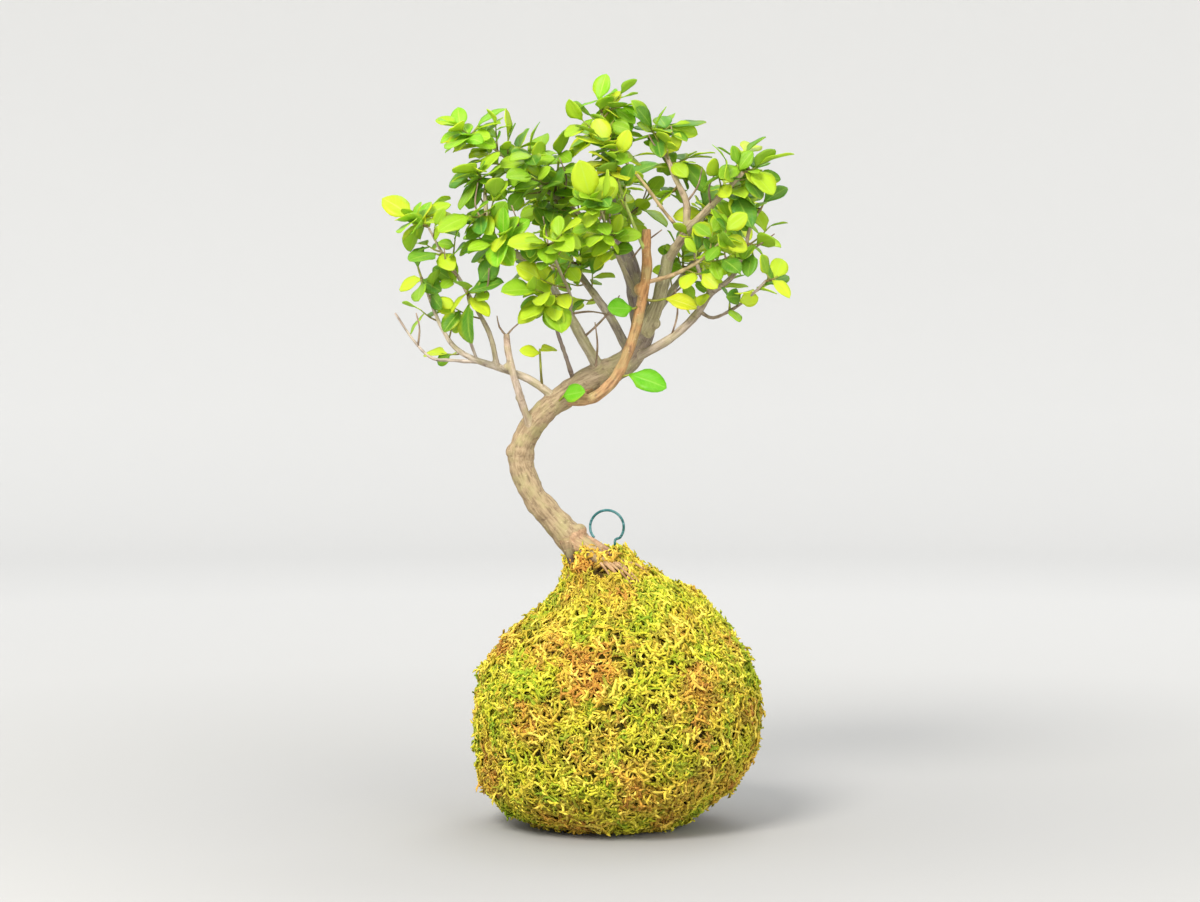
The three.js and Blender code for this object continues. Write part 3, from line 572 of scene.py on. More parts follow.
# leafy stems: name, stem it grows from, how far along, [tip and its leaves], tone,
# and what differs from the leaf rule
leafyStems = [
    ["top_left", "upperLeft", 1, [[-82, -10, 322, 4], [-57, 0, 325, 3], [-69, -24, 307, 2]], "light"],
    ["top_left_inner", "upperLeft", 0.7, [[-46, 12, 316, 3], [-33, -24, 304, 3]], "green"],
    ["top_left_back", "upperLeft", 0.45, [[-25, -4, 316, 3], [-43, -32, 293, 3]], "green"],
    ["left_upper", "leftUpper", 1, [[-40, 26, 312, 3], [-21, -4, 293, 3]], "green"],
    ["left_tip", "leftOuter", 1, [[-67, -30, 299, 4], [-77, -6, 291, 3]], "green"],
    ["left_side", "leftOuter", 0.72, [[-72, -34, 273, 3]], "green"],
    ["left_middle", "leftOuter", 0.45, [[-46, -38, 270, 3], [-64, -30, 259, 3]], "light"],
    ["far_left", "lowLeftInner", 1, [[-102, -14, 281, 4], [-84, 10, 287, 3]], "light"],
    ["far_left_side", "lowLeftInner", 0.78, [[-84, -26, 258, 2]], "green"],
    ["low_left_side", "lowLeftInner", 0.5, [[-66, -30, 244, 3], [-64, -30, 227, 2]], "green"],
    ["low_left_tip", "lowLeft", 1, [[-94, 2, 262, 2], [-86, -25, 241, 2]], "green"],
    ["front_left_tip", "leftFront", 1, [[-35, -48, 265, 3], [-17, -52, 271, 3]], "green"],
    ["front_left_low", "leftFront", 0.35, [[-45, -36, 243, 4], [-38, -34, 229, 3]], "green"],
    ["front_tip", "front", 1, [[-17, -48, 288, 3], [-3, -46, 284, 3]], "green"],
    ["front_low", "front", 0.7, [[-9, -48, 262, 2]], "light"],
    ["front_side", "front", 0.6, [[3, -42, 268, 3]], "green"],
    ["crown_top", "vineTwig", 1, [[-9, -10, 331, 2], [13, -5, 327, 3]], "light",
     {"length": (9, 13)}],
    ["crown_side", "vineTwig", 0.62, [[-13, -26, 311, 3]], "green"],
    ["yellow", "vineShoot", 1, [[-6, -26, 303, 3]], "light"],
    ["crown_back", "trunk", 1, [[-20, 16, 316, 3], [1, 24, 320, 3], [9, 4, 315, 3]], "green"],
    ["right_top", "rightUpper", 1, [[13, -14, 317, 3], [33, -2, 322, 3]], "green"],
    ["right_top_side", "rightUpper", 0.66, [[40, 6, 306, 3], [24, 18, 298, 3]], "green"],
    ["right_inner", "rightUpper", 0.42, [[16, 22, 288, 3]], "green"],
    ["right_tip", "rightOuter", 1, [[72, -20, 302, 4], [56, -4, 311, 3]], "green"],
    ["right_side", "rightOuter", 0.72, [[66, -16, 281, 3], [46, 8, 296, 3]], "green"],
    ["right_low", "rightOuter", 0.42, [[62, 6, 276, 3], [53, 16, 268, 2]], "green"],
    ["low_right_tip", "lowRightOuter", 1, [[67, -10, 284, 2], [57, 6, 287, 2]], "green",
     {"length": (9, 14)}],
    ["low_right_side", "lowRightOuter", 0.6, [[70, -24, 262, 3], [61, -30, 251, 2]], "green",
     {"length": (9, 13)}],
    ["hook_tip", "lowRightHook", 1, [[79, -24, 251, 4], [64, -34, 252, 2]], "green",
     {"length": (9, 12.5)}],
    ["hook_side", "lowRightHook", 0.45, [[50, -26, 239, 2]], "green", {"length": (9, 12)}],
    ["right_heart", "lowRightInner", 1, [[39, 10, 288, 3], [50, 6, 268, 2]], "green"],
    ["back_right_tip", "backRight", 1, [[64, 56, 288, 3], [43, 62, 299, 3]], "green"],
    ["back_right_side", "backRight", 0.5, [[30, 34, 274, 3], [62, 36, 262, 2]], "green"],
    ["back_left_tip", "backLeft", 1, [[-50, 58, 293, 3], [-27, 64, 302, 3]], "green"],
    ["back_left_side", "backLeft", 0.5, [[-20, 36, 278, 3], [-50, 36, 262, 2]], "green"],
    ["back_tip", "back", 1, [[10, 54, 309, 3], [-13, 44, 303, 2]], "green"],
    ["back_side", "back", 0.62, [[22, 34, 298, 3]], "green"],
    ["front_right_tip", "frontRight", 1, [[51, -38, 275, 2]], "green", {"length": (11, 14)}],
    ["bright_leaf", "vine", 0.3, [[19, -17, 205, 1]], "light",
     {**facingFront, "length": (17.5, 18.5), "reach": 17}],
    ["bend_leaf", "trunk", 0.47, [[-17, -14, 201, 1]], "light",
     {**facingFront, "length": (11.5, 12.5)}],
    ["pair", "lowLeft", 0.08, [[-35, -12, 219, 2]], "green",
     {"length": (9, 11), "reach": 3, "firstLeaf": 0.9, "endSpread": 1}],
    ["yellow_leaf", "vine", 0.62, [[36, -16, 239, 1]], "light",
     {**facingFront, "light": (0, -1, 0.8), "length": (14, 15), "reach": 14}],
    ["heart_leaf", "vine", 0.6, [[1, -20, 231, 1]], "light",
     {**facingFront, "length": (12, 13), "halfWidth": (0.4, 0.42)}],
]
leafRule = {
    "length": (11, 18), "halfWidth": (0.3, 0.37), "spread": (0.8, 1.4), "endSpread": 0.3,
    "turn": 0.5, "droop": (0, 0.5), "fold": (0.05, 0.3), "arch": (0.05, 0.25),
    "firstLeaf": 0.3, "lastLeaf": 0.95, "fork": 0.42, "sag": 0.09, "outward": 0.3, "reach": 11,
    "shortestStem": 6, "tries": 16, "leafGap": 3.4, "ownGap": 2.3, "woodGap": 1.7, "woodStep": 3,
    "stemRadius": 0.95, "crownCentre": (-8, 6, 250), "light": (0, -0.4, 0.75),
}
leafTestPlaces = np.array([[0.5, 0], [0.25, -0.7], [0.25, 0.7], [0.3, 0], [0.5, -0.9], [0.5, 0.9],
                           [0.75, -0.7], [0.75, 0], [0.75, 0.7], [1, 0]])
# smaller leaves that fill the crown between those
fillRule = {**leafRule, "length": (7.5, 13.5), "halfWidth": (0.3, 0.39), "spread": (0.6, 1.5),
            "turn": 0.75, "leafGap": 1.5, "ownGap": 1.3, "woodGap": 0.8, "tries": 14,
            "firstLeaf": 0.12, "lastLeaf": 0.97, "boxRoom": 1}

sparseSprays = ["pair", "far_left_side", "low_left_tip", "low_left_side", "hook_tip", "hook_side",
                "low_right_tip", "low_right_side"]
vividSprays = ["bright_leaf", "bend_leaf", "heart_leaf"]
yellowSprays = ["yellow", "yellow_leaf"]
# short shoots: how far along each branch they start, and how far apart they grow
shootsOn = {
    "vineTwig": (0.5, 4), "vineShoot": (0.5, 5), "rightOuter": (0.68, 4), "rightUpper": (0.6, 3.6),
    "lowRight": (0.7, 9), "lowRightOuter": (0.3, 9), "lowRightHook": (0.5, 10),
    "lowRightInner": (0.4, 6), "left": (0.6, 8), "leftOuter": (0.25, 4.5), "leftUpper": (0.25, 4),
    "leftFront": (0.4, 5), "lowLeft": (0.5, 12), "lowLeftInner": (0.3, 8), "backLeft": (0.3, 5),
    "backRight": (0.3, 5), "back": (0.3, 5), "frontRight": (0.45, 5), "front": (0.4, 5),
    "upperLeft": (0.25, 3.2)}
shootRule = {"length": (5, 15), "forward": 0.7, "light": (0, -0.05, 0.35), "sag": 0.06,
             "leaves": [(0.5, 1), (0.8, -1), (1.0, 0.25)]}   # how far along, and to which side


# where leaves grow: the rule that the solids were drawn by

def stemCalled(name):
    return trunk if name == "trunk" else branches[name]


def twigPaths(parent, at, tips, rule):
    start = SmoothLine(stemCalled(parent)["points"]).at(at)
    paths = []
    for x, y, z, _ in tips:
        base = SmoothLine(paths[0]).at(rule["fork"]) if paths else start
        tip = np.array([x, y, z], float)
        span = math.sqrt((tip - base) @ (tip - base))
        stemLength = max(span - rule["reach"], rule["shortestStem"])
        tip = base + (tip - base) * (stemLength / span)
        middle = base + (tip - base) * 0.5
        middle[2] -= rule["sag"] * stemLength
        paths.append([base, middle, tip])
    return paths


def drawLeaf(base, along, side, draw, rule):
    outward = base - np.array(rule["crownCentre"], float)
    outward[2] = max(outward[2], 0)
    facing = unit(outward) * rule["outward"] + np.array(rule["light"])
    facing = unit(facing + np.array([(draw() * 2 - 1) * rule["turn"] for _ in range(3)]))
    across = unit(crossed(along, facing))
    spread = between(rule["spread"], draw()) * side
    direction = along * math.cos(spread) + across * math.sin(spread)
    direction[2] -= between(rule["droop"], draw())
    direction = unit(direction)
    normal = unit(facing - direction * (facing @ direction))
    length = between(rule["length"], draw())
    return {"base": base, "direction": direction, "normal": normal, "length": length,
            "sideways": crossed(normal, direction),
            "half": length * between(rule["halfWidth"], draw()),
            "fold": between(rule["fold"], draw()), "arch": between(rule["arch"], draw())}


def leafPoints(leaf, s, u, lift=0.0):
    rise = leaf["fold"] * leaf["half"] * abs(u) - leaf["arch"] * leaf["length"] * s * s + lift
    return (leaf["base"] + np.multiply.outer(leaf["length"] * s, leaf["direction"])
            + np.multiply.outer(leaf["half"] * u, leaf["sideways"])
            + np.multiply.outer(rise, leaf["normal"]))


class Crowding:
    # what has grown so far, which new leaves keep clear of
    def __init__(self, sprays):
        self.leaves, self.owners = [], []
        self.woodOwners, places, sizes = [], [], []
        stems = [("trunk", trunk)] + list(branches.items())
        stems += [(spray["name"], {"points": path, "radii": [leafRule["stemRadius"]] * 2})
                  for spray in sprays for path in spray["paths"]]
        for owner, stem in stems:
            line = SmoothLine(stem["points"])
            count = math.ceil(line.length() / leafRule["woodStep"])
            for i in range(count + 1):
                places.append(line.at(i / count))
                sizes.append(valueAt(stem["radii"], i / count))
                self.woodOwners.append(owner)
        self.wood, self.woodSizes = np.array(places), np.array(sizes)
        self.woodOwners = np.array(self.woodOwners)

    def clear(self, samples, owner, rule):
        span = 2 * leafRule["length"][1]
        if self.leaves:
            others = np.array(self.leaves)
            near = ((others[:, 0] - samples[0]) ** 2).sum(1) < span * span
            gaps = np.where(np.array(self.owners) == owner, rule["ownGap"], rule["leafGap"])
            for other, gap in zip(others[near], gaps[near]):
                if ((other[:, None] - samples) ** 2).sum(2).min() < gap * gap:
                    return False
        near = (self.woodOwners != owner) & (((self.wood - samples[0]) ** 2).sum(1) < span * span)
        away = np.sqrt(((self.wood[near][:, None] - samples) ** 2).sum(2)).min(1)
        return not (away < self.woodSizes[near] + rule["woodGap"]).any()

    def grow(self, base, along, side, draw, owner, rule):
        for _ in range(rule["tries"]):
            leaf = drawLeaf(base, along, side, draw, rule)
            samples = leafPoints(leaf, leafTestPlaces[:, 0], leafTestPlaces[:, 1])
            if rule is fillRule and not insideBox(samples):
                continue
            if self.clear(samples, owner, rule):
                self.leaves.append(samples)
                self.owners.append(owner)
                return leaf
        return None


def insideBox(samples):
    low, high = np.array(cadBox) / mm
    room = fillRule["boxRoom"]
    return (samples > low + room).all() and (samples < high - room).all()


def placeLeaves():
    sprays = []
    for name, parent, at, tips, tone, *changes in leafyStems:
        rule = {**leafRule, **(changes[0] if changes else {})}
        sprays.append({"name": name, "tone": tone, "rule": rule, "leaves": [], "small": [],
                       "paths": twigPaths(parent, at, tips, rule), "counts": [tip[3] for tip in tips]})
    crowding = Crowding(sprays)
    for number, spray in enumerate(sprays):
        rule = spray["rule"]
        for twig, (path, count) in enumerate(zip(spray["paths"], spray["counts"])):
            line = SmoothLine(path)
            for k in range(count):
                share = 1 if count == 1 else k / (count - 1)
                t = between((rule["firstLeaf"], rule["lastLeaf"]), share)
                side = rule["endSpread"] if k == count - 1 else (1 if k % 2 else -1)
                draw = seeded(1009 * (number + 1) + 131 * twig + 17 * k + 5)
                leaf = crowding.grow(line.at(t), line.along(t), side, draw, spray["name"], rule)
                if leaf:
                    spray["leaves"].append(leaf)
    return sprays, crowding


# small leaves opposite the large ones, and short shoots out of the branches
def fillCrown(sprays, crowding):
    for number, spray in enumerate(sprays):
        if spray["counts"][0] < 2 or spray["name"] in sparseSprays:
            continue
        for twig, (path, count) in enumerate(zip(spray["paths"], spray["counts"])):
            line = SmoothLine(path)
            for k in range(count + 2):
                t = between((fillRule["firstLeaf"], fillRule["lastLeaf"]), k / (count + 1))
                draw = seeded(733 * (number + 3) + 97 * twig + 29 * k + 11)
                side = 1 if k % 2 == 0 else -1
                leaf = crowding.grow(line.at(t), line.along(t), side, draw, spray["name"], fillRule)
                if leaf:
                    spray["small"].append(leaf)
    shoots = []
    for number, (name, stem) in enumerate(branches.items()):
        if name not in shootsOn:
            continue
        line = SmoothLine(stem["points"])
        first, spacing = shootsOn[name]
        count = round(line.length() * (1 - first) / spacing)
        for k in range(count):
            draw = seeded(4409 + 353 * number + 41 * k)
            t = between((first, 1), (k + draw()) / count)
            base, along = line.at(t), line.along(t)
            angle = draw() * 2 * math.pi
            sideways = unit(crossed(along, np.array([0.1, 0.2, 1.0])))
            out = sideways * math.cos(angle) + crossed(along, sideways) * math.sin(angle)
            length = between(shootRule["length"], draw())
            tip = base + unit(out + along * shootRule["forward"] + np.array(shootRule["light"])) * length
            sag = np.array([0, 0, shootRule["sag"] * length])
            shoot = {"path": [base, (base + tip) / 2 - sag, tip], "leaves": [], "branch": name}
            shootLine = SmoothLine(shoot["path"])
            for place, side in shootRule["leaves"]:
                leaf = crowding.grow(shootLine.at(place), shootLine.along(place), side, draw,
                                     name, fillRule)
                if leaf:
                    shoot["leaves"].append(leaf)
            if shoot["leaves"]:
                shoots.append(shoot)
    return shoots


leafLook = {"thickness": 0.32, "stalk": 0.13, "stalkWidth": 0.07, "along": 8, "across": 4, "wave": 0.05,
            "bulge": 2.22, "footEase": 0.52, "tipEase": 0.65,   # of the blade's outline
            "tipSteps": 1.35, "roundness": 1.35, "boxRoom": 3e-5}


def leafOutline(s):   # half width at s, against the widest
    if s <= leafLook["stalk"]:
        return leafLook["stalkWidth"]
    blade = (s - leafLook["stalk"]) / (1 - leafLook["stalk"])
    width = leafLook["bulge"] * blade ** leafLook["footEase"]
    width *= (1 - min(blade, 0.9995)) ** leafLook["tipEase"]
    return max(width, leafLook["stalkWidth"] * (1 - blade))


def makeLeafShape():
    # flat pointed blade in (how far along, how far across, lift), with a stalk, closed all round
    bm = bmesh.new()
    bmesh.ops.create_grid(bm, x_segments=leafLook["along"], y_segments=leafLook["across"], size=0.5)
    bmesh.ops.translate(bm, verts=bm.verts, vec=(0.5, 0, 0))
    bmesh.ops.scale(bm, verts=bm.verts, vec=(1, 2, 1))
    for v in bm.verts:   # shorter steps towards the tip
        v.co.x = 1 - (1 - v.co.x) ** leafLook["tipSteps"]
    top = list(bm.faces)
    for face in top:
        if face.normal.z < 0:
            face.normal_flip()
    bmesh.ops.solidify(bm, geom=top, thickness=leafLook["thickness"])
    heights = [v.co.z for v in bm.verts]
    middle = (max(heights) + min(heights)) / 2
    for v in bm.verts:
        v.co.z -= middle
    uv = bm.loops.layers.uv.new("leafMap")
    for face in bm.faces:
        below = face.normal.z < -0.5
        for loop in face.loops:
            s, u = loop.vert.co.x, loop.vert.co.y
            loop[uv].uv = (min(max(s, 0.001), 0.999), 0.5 + 0.49 * u + (2 if below else 0))
    bmesh.ops.recalc_face_normals(bm, faces=bm.faces)
    return meshFrom(bm, "leafShape")


leafShape = makeLeafShape()
leafFlat = np.array([v.co for v in leafShape.vertices], float)
leafWidths = np.array([leafOutline(s) for s in leafFlat[:, 0]])
leafUv = np.zeros(len(leafShape.loops) * 2, np.float32)
leafShape.uv_layers["leafMap"].data.foreach_get("uv", leafUv)
leafUv = leafUv.reshape(-1, 2)


def addLeaf(bm, leaf, number):
    s, u, lift = leafFlat.T
    wave = leafLook["wave"] * np.sin(s * 11 + number) * leaf["half"] * np.abs(u) ** 2
    rounded = np.abs(u) ** leafLook["roundness"]
    width = u * leafWidths
    rise = (leaf["fold"] * leaf["half"] * rounded * leafWidths
            - leaf["arch"] * leaf["length"] * s * s + lift + wave)
    points = (leaf["base"] + np.multiply.outer(leaf["length"] * s, leaf["direction"])
              + np.multiply.outer(leaf["half"] * width, leaf["sideways"])
              + np.multiply.outer(rise, leaf["normal"]))
    points = np.clip(points * mm, np.array(cadBox[0]) + leafLook["boxRoom"],
                     np.array(cadBox[1]) - leafLook["boxRoom"])
    leafShape.vertices.foreach_set("co", points.ravel().astype(np.float32))
    marked = leafUv + np.array([2.0 * number, 0.0], np.float32)
    leafShape.uv_layers["leafMap"].data.foreach_set("uv", marked.ravel())
    bm.from_mesh(leafShape)


twigLook = {"tones": ["#8E7A4A", "#9AAE3A"], "spray": [0.72, 0.42], "shoot": [0.5, 0.3]}
leafKinds = {"green": ("leaf_green", greenLeaf), "light": ("leaf_light", lightLeaf)}
oddBlades = {**dict.fromkeys(vividSprays, vividLeaf), **dict.fromkeys(yellowSprays, yellowLeaf)}


def addStem(bm, path, radii, seed, sides=6):
    # a stem has the material after the leaf's
    before = len(bm.faces)
    bm.from_mesh(growRod(path, radii, sides, step=2.5, wobble=0.1, seed=seed))
    bm.faces.ensure_lookup_table()
    for face in bm.faces[before:]:
        face.material_index = 1


def dressStems(mesh, paths, radii):
    dressSkin(mesh, stemSamples([{"points": path, "radii": radii, "tones": twigLook["tones"]}
                                 for path in paths]))


def growSprays():
    sprays, crowding = placeLeaves()
    large = sum(len(spray["leaves"]) for spray in sprays)
    shoots = fillCrown(sprays, crowding)
    for number, spray in enumerate(sprays):
        bm = bmesh.new()
        for twig, path in enumerate(spray["paths"]):
            addStem(bm, path, twigLook["spray"], 900 + 7 * number + twig)
        for k, leaf in enumerate(spray["leaves"] + spray["small"]):
            addLeaf(bm, leaf, 1 + k + 3 * number)
        mesh = meshFrom(bm, "spray_" + spray["name"])
        dressStems(mesh, spray["paths"], twigLook["spray"])
        slot, blade = leafKinds[spray["tone"]]
        finishPiece("spray_" + spray["name"], mesh, [oddBlades.get(spray["name"], blade), shootBark],
                    slot, ["leafy_stem_" + spray["name"]])
    small = sum(len(spray["small"]) for spray in sprays)
    for name in branches:
        own = [shoot for shoot in shoots if shoot["branch"] == name]
        if not own:
            continue
        bm = bmesh.new()
        count = 1
        for k, shoot in enumerate(own):
            addStem(bm, shoot["path"], twigLook["shoot"], 2000 + 13 * k, sides=5)
            for leaf in shoot["leaves"]:
                addLeaf(bm, leaf, count)
                count += 1
        mesh = meshFrom(bm, "small_shoots_" + name)
        dressStems(mesh, [shoot["path"] for shoot in own], twigLook["shoot"])
        finishPiece("small_shoots_" + name, mesh, [greenLeaf, shootBark], "leaf_green")
        small += count - 1
    print("leaves:", large, "as in the solids and", small, "small ones")


growSprays()


# moss

mossBall = {
    "outline": [   # height, middle in x, half width
        [0, 0, 26], [4, -5, 38], [10.5, -6, 48.5], [20, -4, 58], [33, -1, 63], [48, 0, 64.6],
        [62, 0, 63.4], [75, 0.4, 59.6], [88, 1.5, 50], [97, 3.5, 41], [105, 4, 32.5],
        [112, -1, 23.5], [119, -6, 17.5], [125, -9, 13]],
    "mat": 3.6,            # how far the matted layer lies under the tips of the strands
    "wall": 6,             # thickness of that layer
    "lumps": 1.5,
    "strands": 12000,
    "strandSize": (0.85, 1.5),   # against strands about 9 long when straight
    "strandRadius": 0.63,
    "branchlets": 3,
    "sunk": (-0.2, 2.4),   # how far under the outline a strand lies
    "clumps": 1.1,         # how far neighbours lie higher or lower together
    "tilt": (-0.35, 0.25),   # how far a strand noses out of the ball, in radians
    "stray": 0.05,         # share of strands that stand up
    "strayTilt": (0.3, 0.9),
    "neck": 98,            # from this height the strands are drawn up towards the trunk
    "neckTilt": (-0.2, 0.3),
    "dry": 0.34,           # share of straw away from the dry and the green places
    "drier": 1.3,          # what the middle of a dry place adds to it
    "greener": 0.9,        # and the middle of a green one takes
    "rim": 0.06,           # share of the mat that closes it at each end
    "foot": 0.8,           # how high the mat's underside lies
    "boxRoom": 0.0003,     # metres between the strands and the sides of the solids' box
    "sectors": 8,
    "seed": 77,
}
# dry, orange-tan places: x, y, z, radius
dryPatches = [[-9, -62, 77, 17], [-1, -60, 50, 13], [29, -50, 70, 9], [36, -45, 96, 9],
              [36, -52, 48, 8], [-64, -12, 20, 11], [-28, -38, 12, 9], [-20, -50, 82, 8],
              [30, 50, 60, 14], [-20, 60, 40, 12], [-50, 30, 80, 12], [60, 20, 30, 11],
              [5, 45, 95, 12], [-18, -12, 119, 7]]
# places without strands, where roots come out of the dark below: x, y, z, radius
hollows = [[-23, -10, 121, 4.2], [-8, -17, 116, 6], [-12, -14, 121, 4], [-2, -17, 117, 4],
           [2, -14, 119.5, 3.6], [7, -20, 112, 2.6], [-19, -13, 114, 3], [-6, -24, 108, 2.2],
           [-4, -59, 84, 2.5], [18, -60, 58, 2.2], [-30, -50, 90, 2.4]]
# fresh green places
greenPatches = [[-36, -48, 70, 13], [-48, -32, 50, 14], [40, -40, 84, 10], [52, -30, 40, 16],
                [-10, -60, 26, 12], [16, -40, 98, 9], [20, -56, 32, 10], [-30, 50, 60, 18],
                [50, 40, 70, 14], [-60, 0, 60, 12]]

mossLine = SmoothLine([[half, middle, height] for height, middle, half in mossBall["outline"]])


def mossPlace(angle, t):
    half, middle, height = mossLine.at(t)
    return Vector((middle + half * math.cos(angle), half * math.sin(angle), height))


def mossNormal(angle, t):
    around = mossPlace(angle + 0.01, t) - mossPlace(angle - 0.01, t)
    up = mossPlace(angle, min(t + 0.004, 1)) - mossPlace(angle, max(t - 0.004, 0))
    return around.cross(up).normalized()


def lumpAt(place, way):   # the ball's own lumps, straight out from its middle
    return Vector((way.x, way.y, 0)).normalized() * noise.noise(place * 0.14) * mossBall["lumps"]


def growMat():
    # a ball whose rings follow the outline, sunk under the strands and lumpy
    bm = bmesh.new()
    bmesh.ops.create_uvsphere(bm, u_segments=120, v_segments=84, radius=1)
    rim, foot = mossBall["rim"], mossBall["foot"]
    neck = mossLine.at(1)[1]
    for v in bm.verts:
        t = math.acos(max(-1.0, min(1.0, -v.co.z))) / math.pi
        angle = math.atan2(v.co.y, v.co.x)
        inner = min(max((t - rim) / (1 - 2 * rim), 0), 1)
        place = mossPlace(angle, inner)
        sunk = place - mossNormal(angle, inner) * mossBall["mat"]
        if t < rim:
            sunk = Vector((sunk.x * t / rim, sunk.y * t / rim, sunk.z))
        if t > 1 - rim:
            share = (1 - t) / rim
            sunk = Vector((neck + (sunk.x - neck) * share, sunk.y * share, sunk.z))
        if abs(v.co.z) < 0.9999:
            sunk += lumpAt(place, sunk)
        sunk.z = max(sunk.z, foot)
        v.co = sunk * mm
    bmesh.ops.recalc_face_normals(bm, faces=bm.faces)
    mesh = meshFrom(bm, "moss_mat")
    piece = finishPiece("moss_mat", mesh, [mattedMoss], "moss", ["moss_cover"])
    wall = piece.modifiers.new("coverThickness", "SOLIDIFY")
    wall.thickness = mossBall["wall"] * mm
    wall.offset = -1


# one strand that creeps along +Z, arches out along +X and curls in, with short side branchlets
def strandShape(seed):
    draw = seeded(seed)
    rise, curl = between((1.2, 3.2), draw()), between((0.35, 1.15), draw())
    if draw() > 0.5:
        curl = -curl
    tuck = between((0.5, 1.2), draw())   # how far the tip turns back
    spine = [[-1.3, 0, -1.2], [0.3 * rise, 0.05 * curl, 0.7], [0.85 * rise, 0.2 * curl, 2.4],
             [rise, 0.8 * curl, 4.1], [0.95 * rise, 2.0 * curl, 5.4],
             [0.6 * rise, 3.1 * curl, 5.9 - 0.9 * tuck], [0.3 * rise, 3.5 * curl, 5.9 - 2.2 * tuck]]
    scaly = [0.6, 1.0, 0.76, 1.08, 0.76, 1.0, 0.7, 0.76, 0.22]
    radius = mossBall["strandRadius"]
    bm = bmesh.new()
    bm.from_mesh(growRod(spine, [r * radius for r in scaly], sides=3, step=1.35))
    line = SmoothLine(spine)
    for k in range(mossBall["branchlets"]):
        t = 0.28 + 0.2 * k + 0.06 * draw()
        start, forward = line.at(t), line.along(t)
        turn = (1 if k % 2 else -1) * between((0.7, 1.2), draw())
        length = between((1.5, 2.7), draw())
        out = np.array([0.45 * draw(), math.sin(turn), math.cos(turn)])
        tip = start + unit(out + 0.5 * forward) * length
        bend = (start + tip) / 2 + np.array([0.35, 0, 0])
        bm.from_mesh(growRod([start, bend, tip], [r * radius for r in (0.62, 0.72, 0.16)], sides=3,
                             step=1.5))
    rod = meshFrom(bm, "strand")
    for name in ("strandAlong", "strandTone", "strandDry"):
        rod.attributes.new(name, "FLOAT", "POINT")
    rod.attributes["strandAlong"].data.foreach_set("value", [
        min(max((v.co.x / mm + 0.8) / (rise + 0.8), 0), 1) for v in rod.vertices])
    return rod


def patchShare(place, patches):
    return max(max(0.0, 1 - (place - Vector(patch[:3])).length / patch[3]) for patch in patches)


def growStrands():
    shapes = []
    for i in range(14):
        shape = strandShape(500 + 7 * i)
        shapes.append((shape, np.array([[*v.co, 1] for v in shape.vertices], float)))
    sectors = [bmesh.new() for _ in range(mossBall["sectors"])]
    draw = seeded(mossBall["seed"])
    low, high = np.array(cadBox[0]) + mossBall["boxRoom"], np.array(cadBox[1]) - mossBall["boxRoom"]
    count = 0
    while count < mossBall["strands"]:
        t, angle = draw(), draw() * 2 * math.pi
        half = mossLine.at(t)[0]
        if draw() > (half / 66) * 1.05 + 0.05:   # as many to each square of surface
            continue
        count += 1
        place = mossPlace(angle, t)
        normal = mossNormal(angle, t)
        place += lumpAt(place, place)
        if any((place - Vector(hollow[:3])).length < hollow[3] for hollow in hollows):
            continue
        sunk = between(mossBall["sunk"], draw()) + mossBall["clumps"] * noise.noise(place * 0.3)
        size = between(mossBall["strandSize"], draw())
        heading = draw() * 2 * math.pi
        tilt = between(mossBall["tilt"], draw())
        if draw() < mossBall["stray"]:
            tilt = between(mossBall["strayTilt"], draw())
        if place.z > mossBall["neck"]:
            heading = math.pi / 2 + (draw() - 0.5) * 2.2
            tilt = between(mossBall["neckTilt"], draw())
        around = Vector((0, 0, 1)).cross(normal)
        around = around.normalized() if around.length > 1e-4 else Vector((1, 0, 0))
        up = normal.cross(around)
        tangent = around * math.cos(heading) + up * math.sin(heading)
        axis = tangent * math.cos(tilt) + normal * math.sin(tilt)
        outward = normal * math.cos(tilt) - tangent * math.sin(tilt)
        roll = Matrix.Rotation((draw() - 0.5) * 1.5, 3, axis)
        turn = (roll @ Matrix((outward, axis.cross(outward), axis)).transposed()).to_4x4()
        foot = place - normal * (sunk + 1.2 * size) - axis * size * 3.5
        move = Matrix.Translation(foot * mm) @ turn @ Matrix.Diagonal((size, size, size, 1))
        shape, flat = shapes[int(draw() * len(shapes)) % len(shapes)]
        points = (flat @ np.array(move.transposed()))[:, :3]
        # strands that would stand out of the solids' box move back into it whole
        points += np.maximum(low - points.min(axis=0), 0) - np.maximum(points.max(axis=0) - high, 0)
        shape.vertices.foreach_set("co", points.astype(np.float32).ravel())
        tone = draw()
        field = noise.noise(place * 0.05) * 0.9 + noise.noise(place * 0.19) * 0.5
        dry = mossBall["dry"] + field + mossBall["drier"] * patchShare(place, dryPatches)
        dry -= mossBall["greener"] * patchShare(place, greenPatches)
        dry = min(max(dry + (draw() - 0.5) * 0.5, 0), 1)
        for name, value in (("strandTone", tone), ("strandDry", dry)):
            shape.attributes[name].data.foreach_set("value", [value] * len(shape.vertices))
        sectors[int(angle / (2 * math.pi) * len(sectors)) % len(sectors)].from_mesh(shape)
    for number, bm in enumerate(sectors):
        mesh = meshFrom(bm, "moss_strands")
        finishPiece("moss_strands_" + "abcdefgh"[number], mesh, [strands], "moss", ["moss_cover"])
        print("moss strands", number, sum(len(p.vertices) - 2 for p in mesh.polygons), "triangles")


growMat()
growStrands()


# fine roots at the neck, wire ring and soil

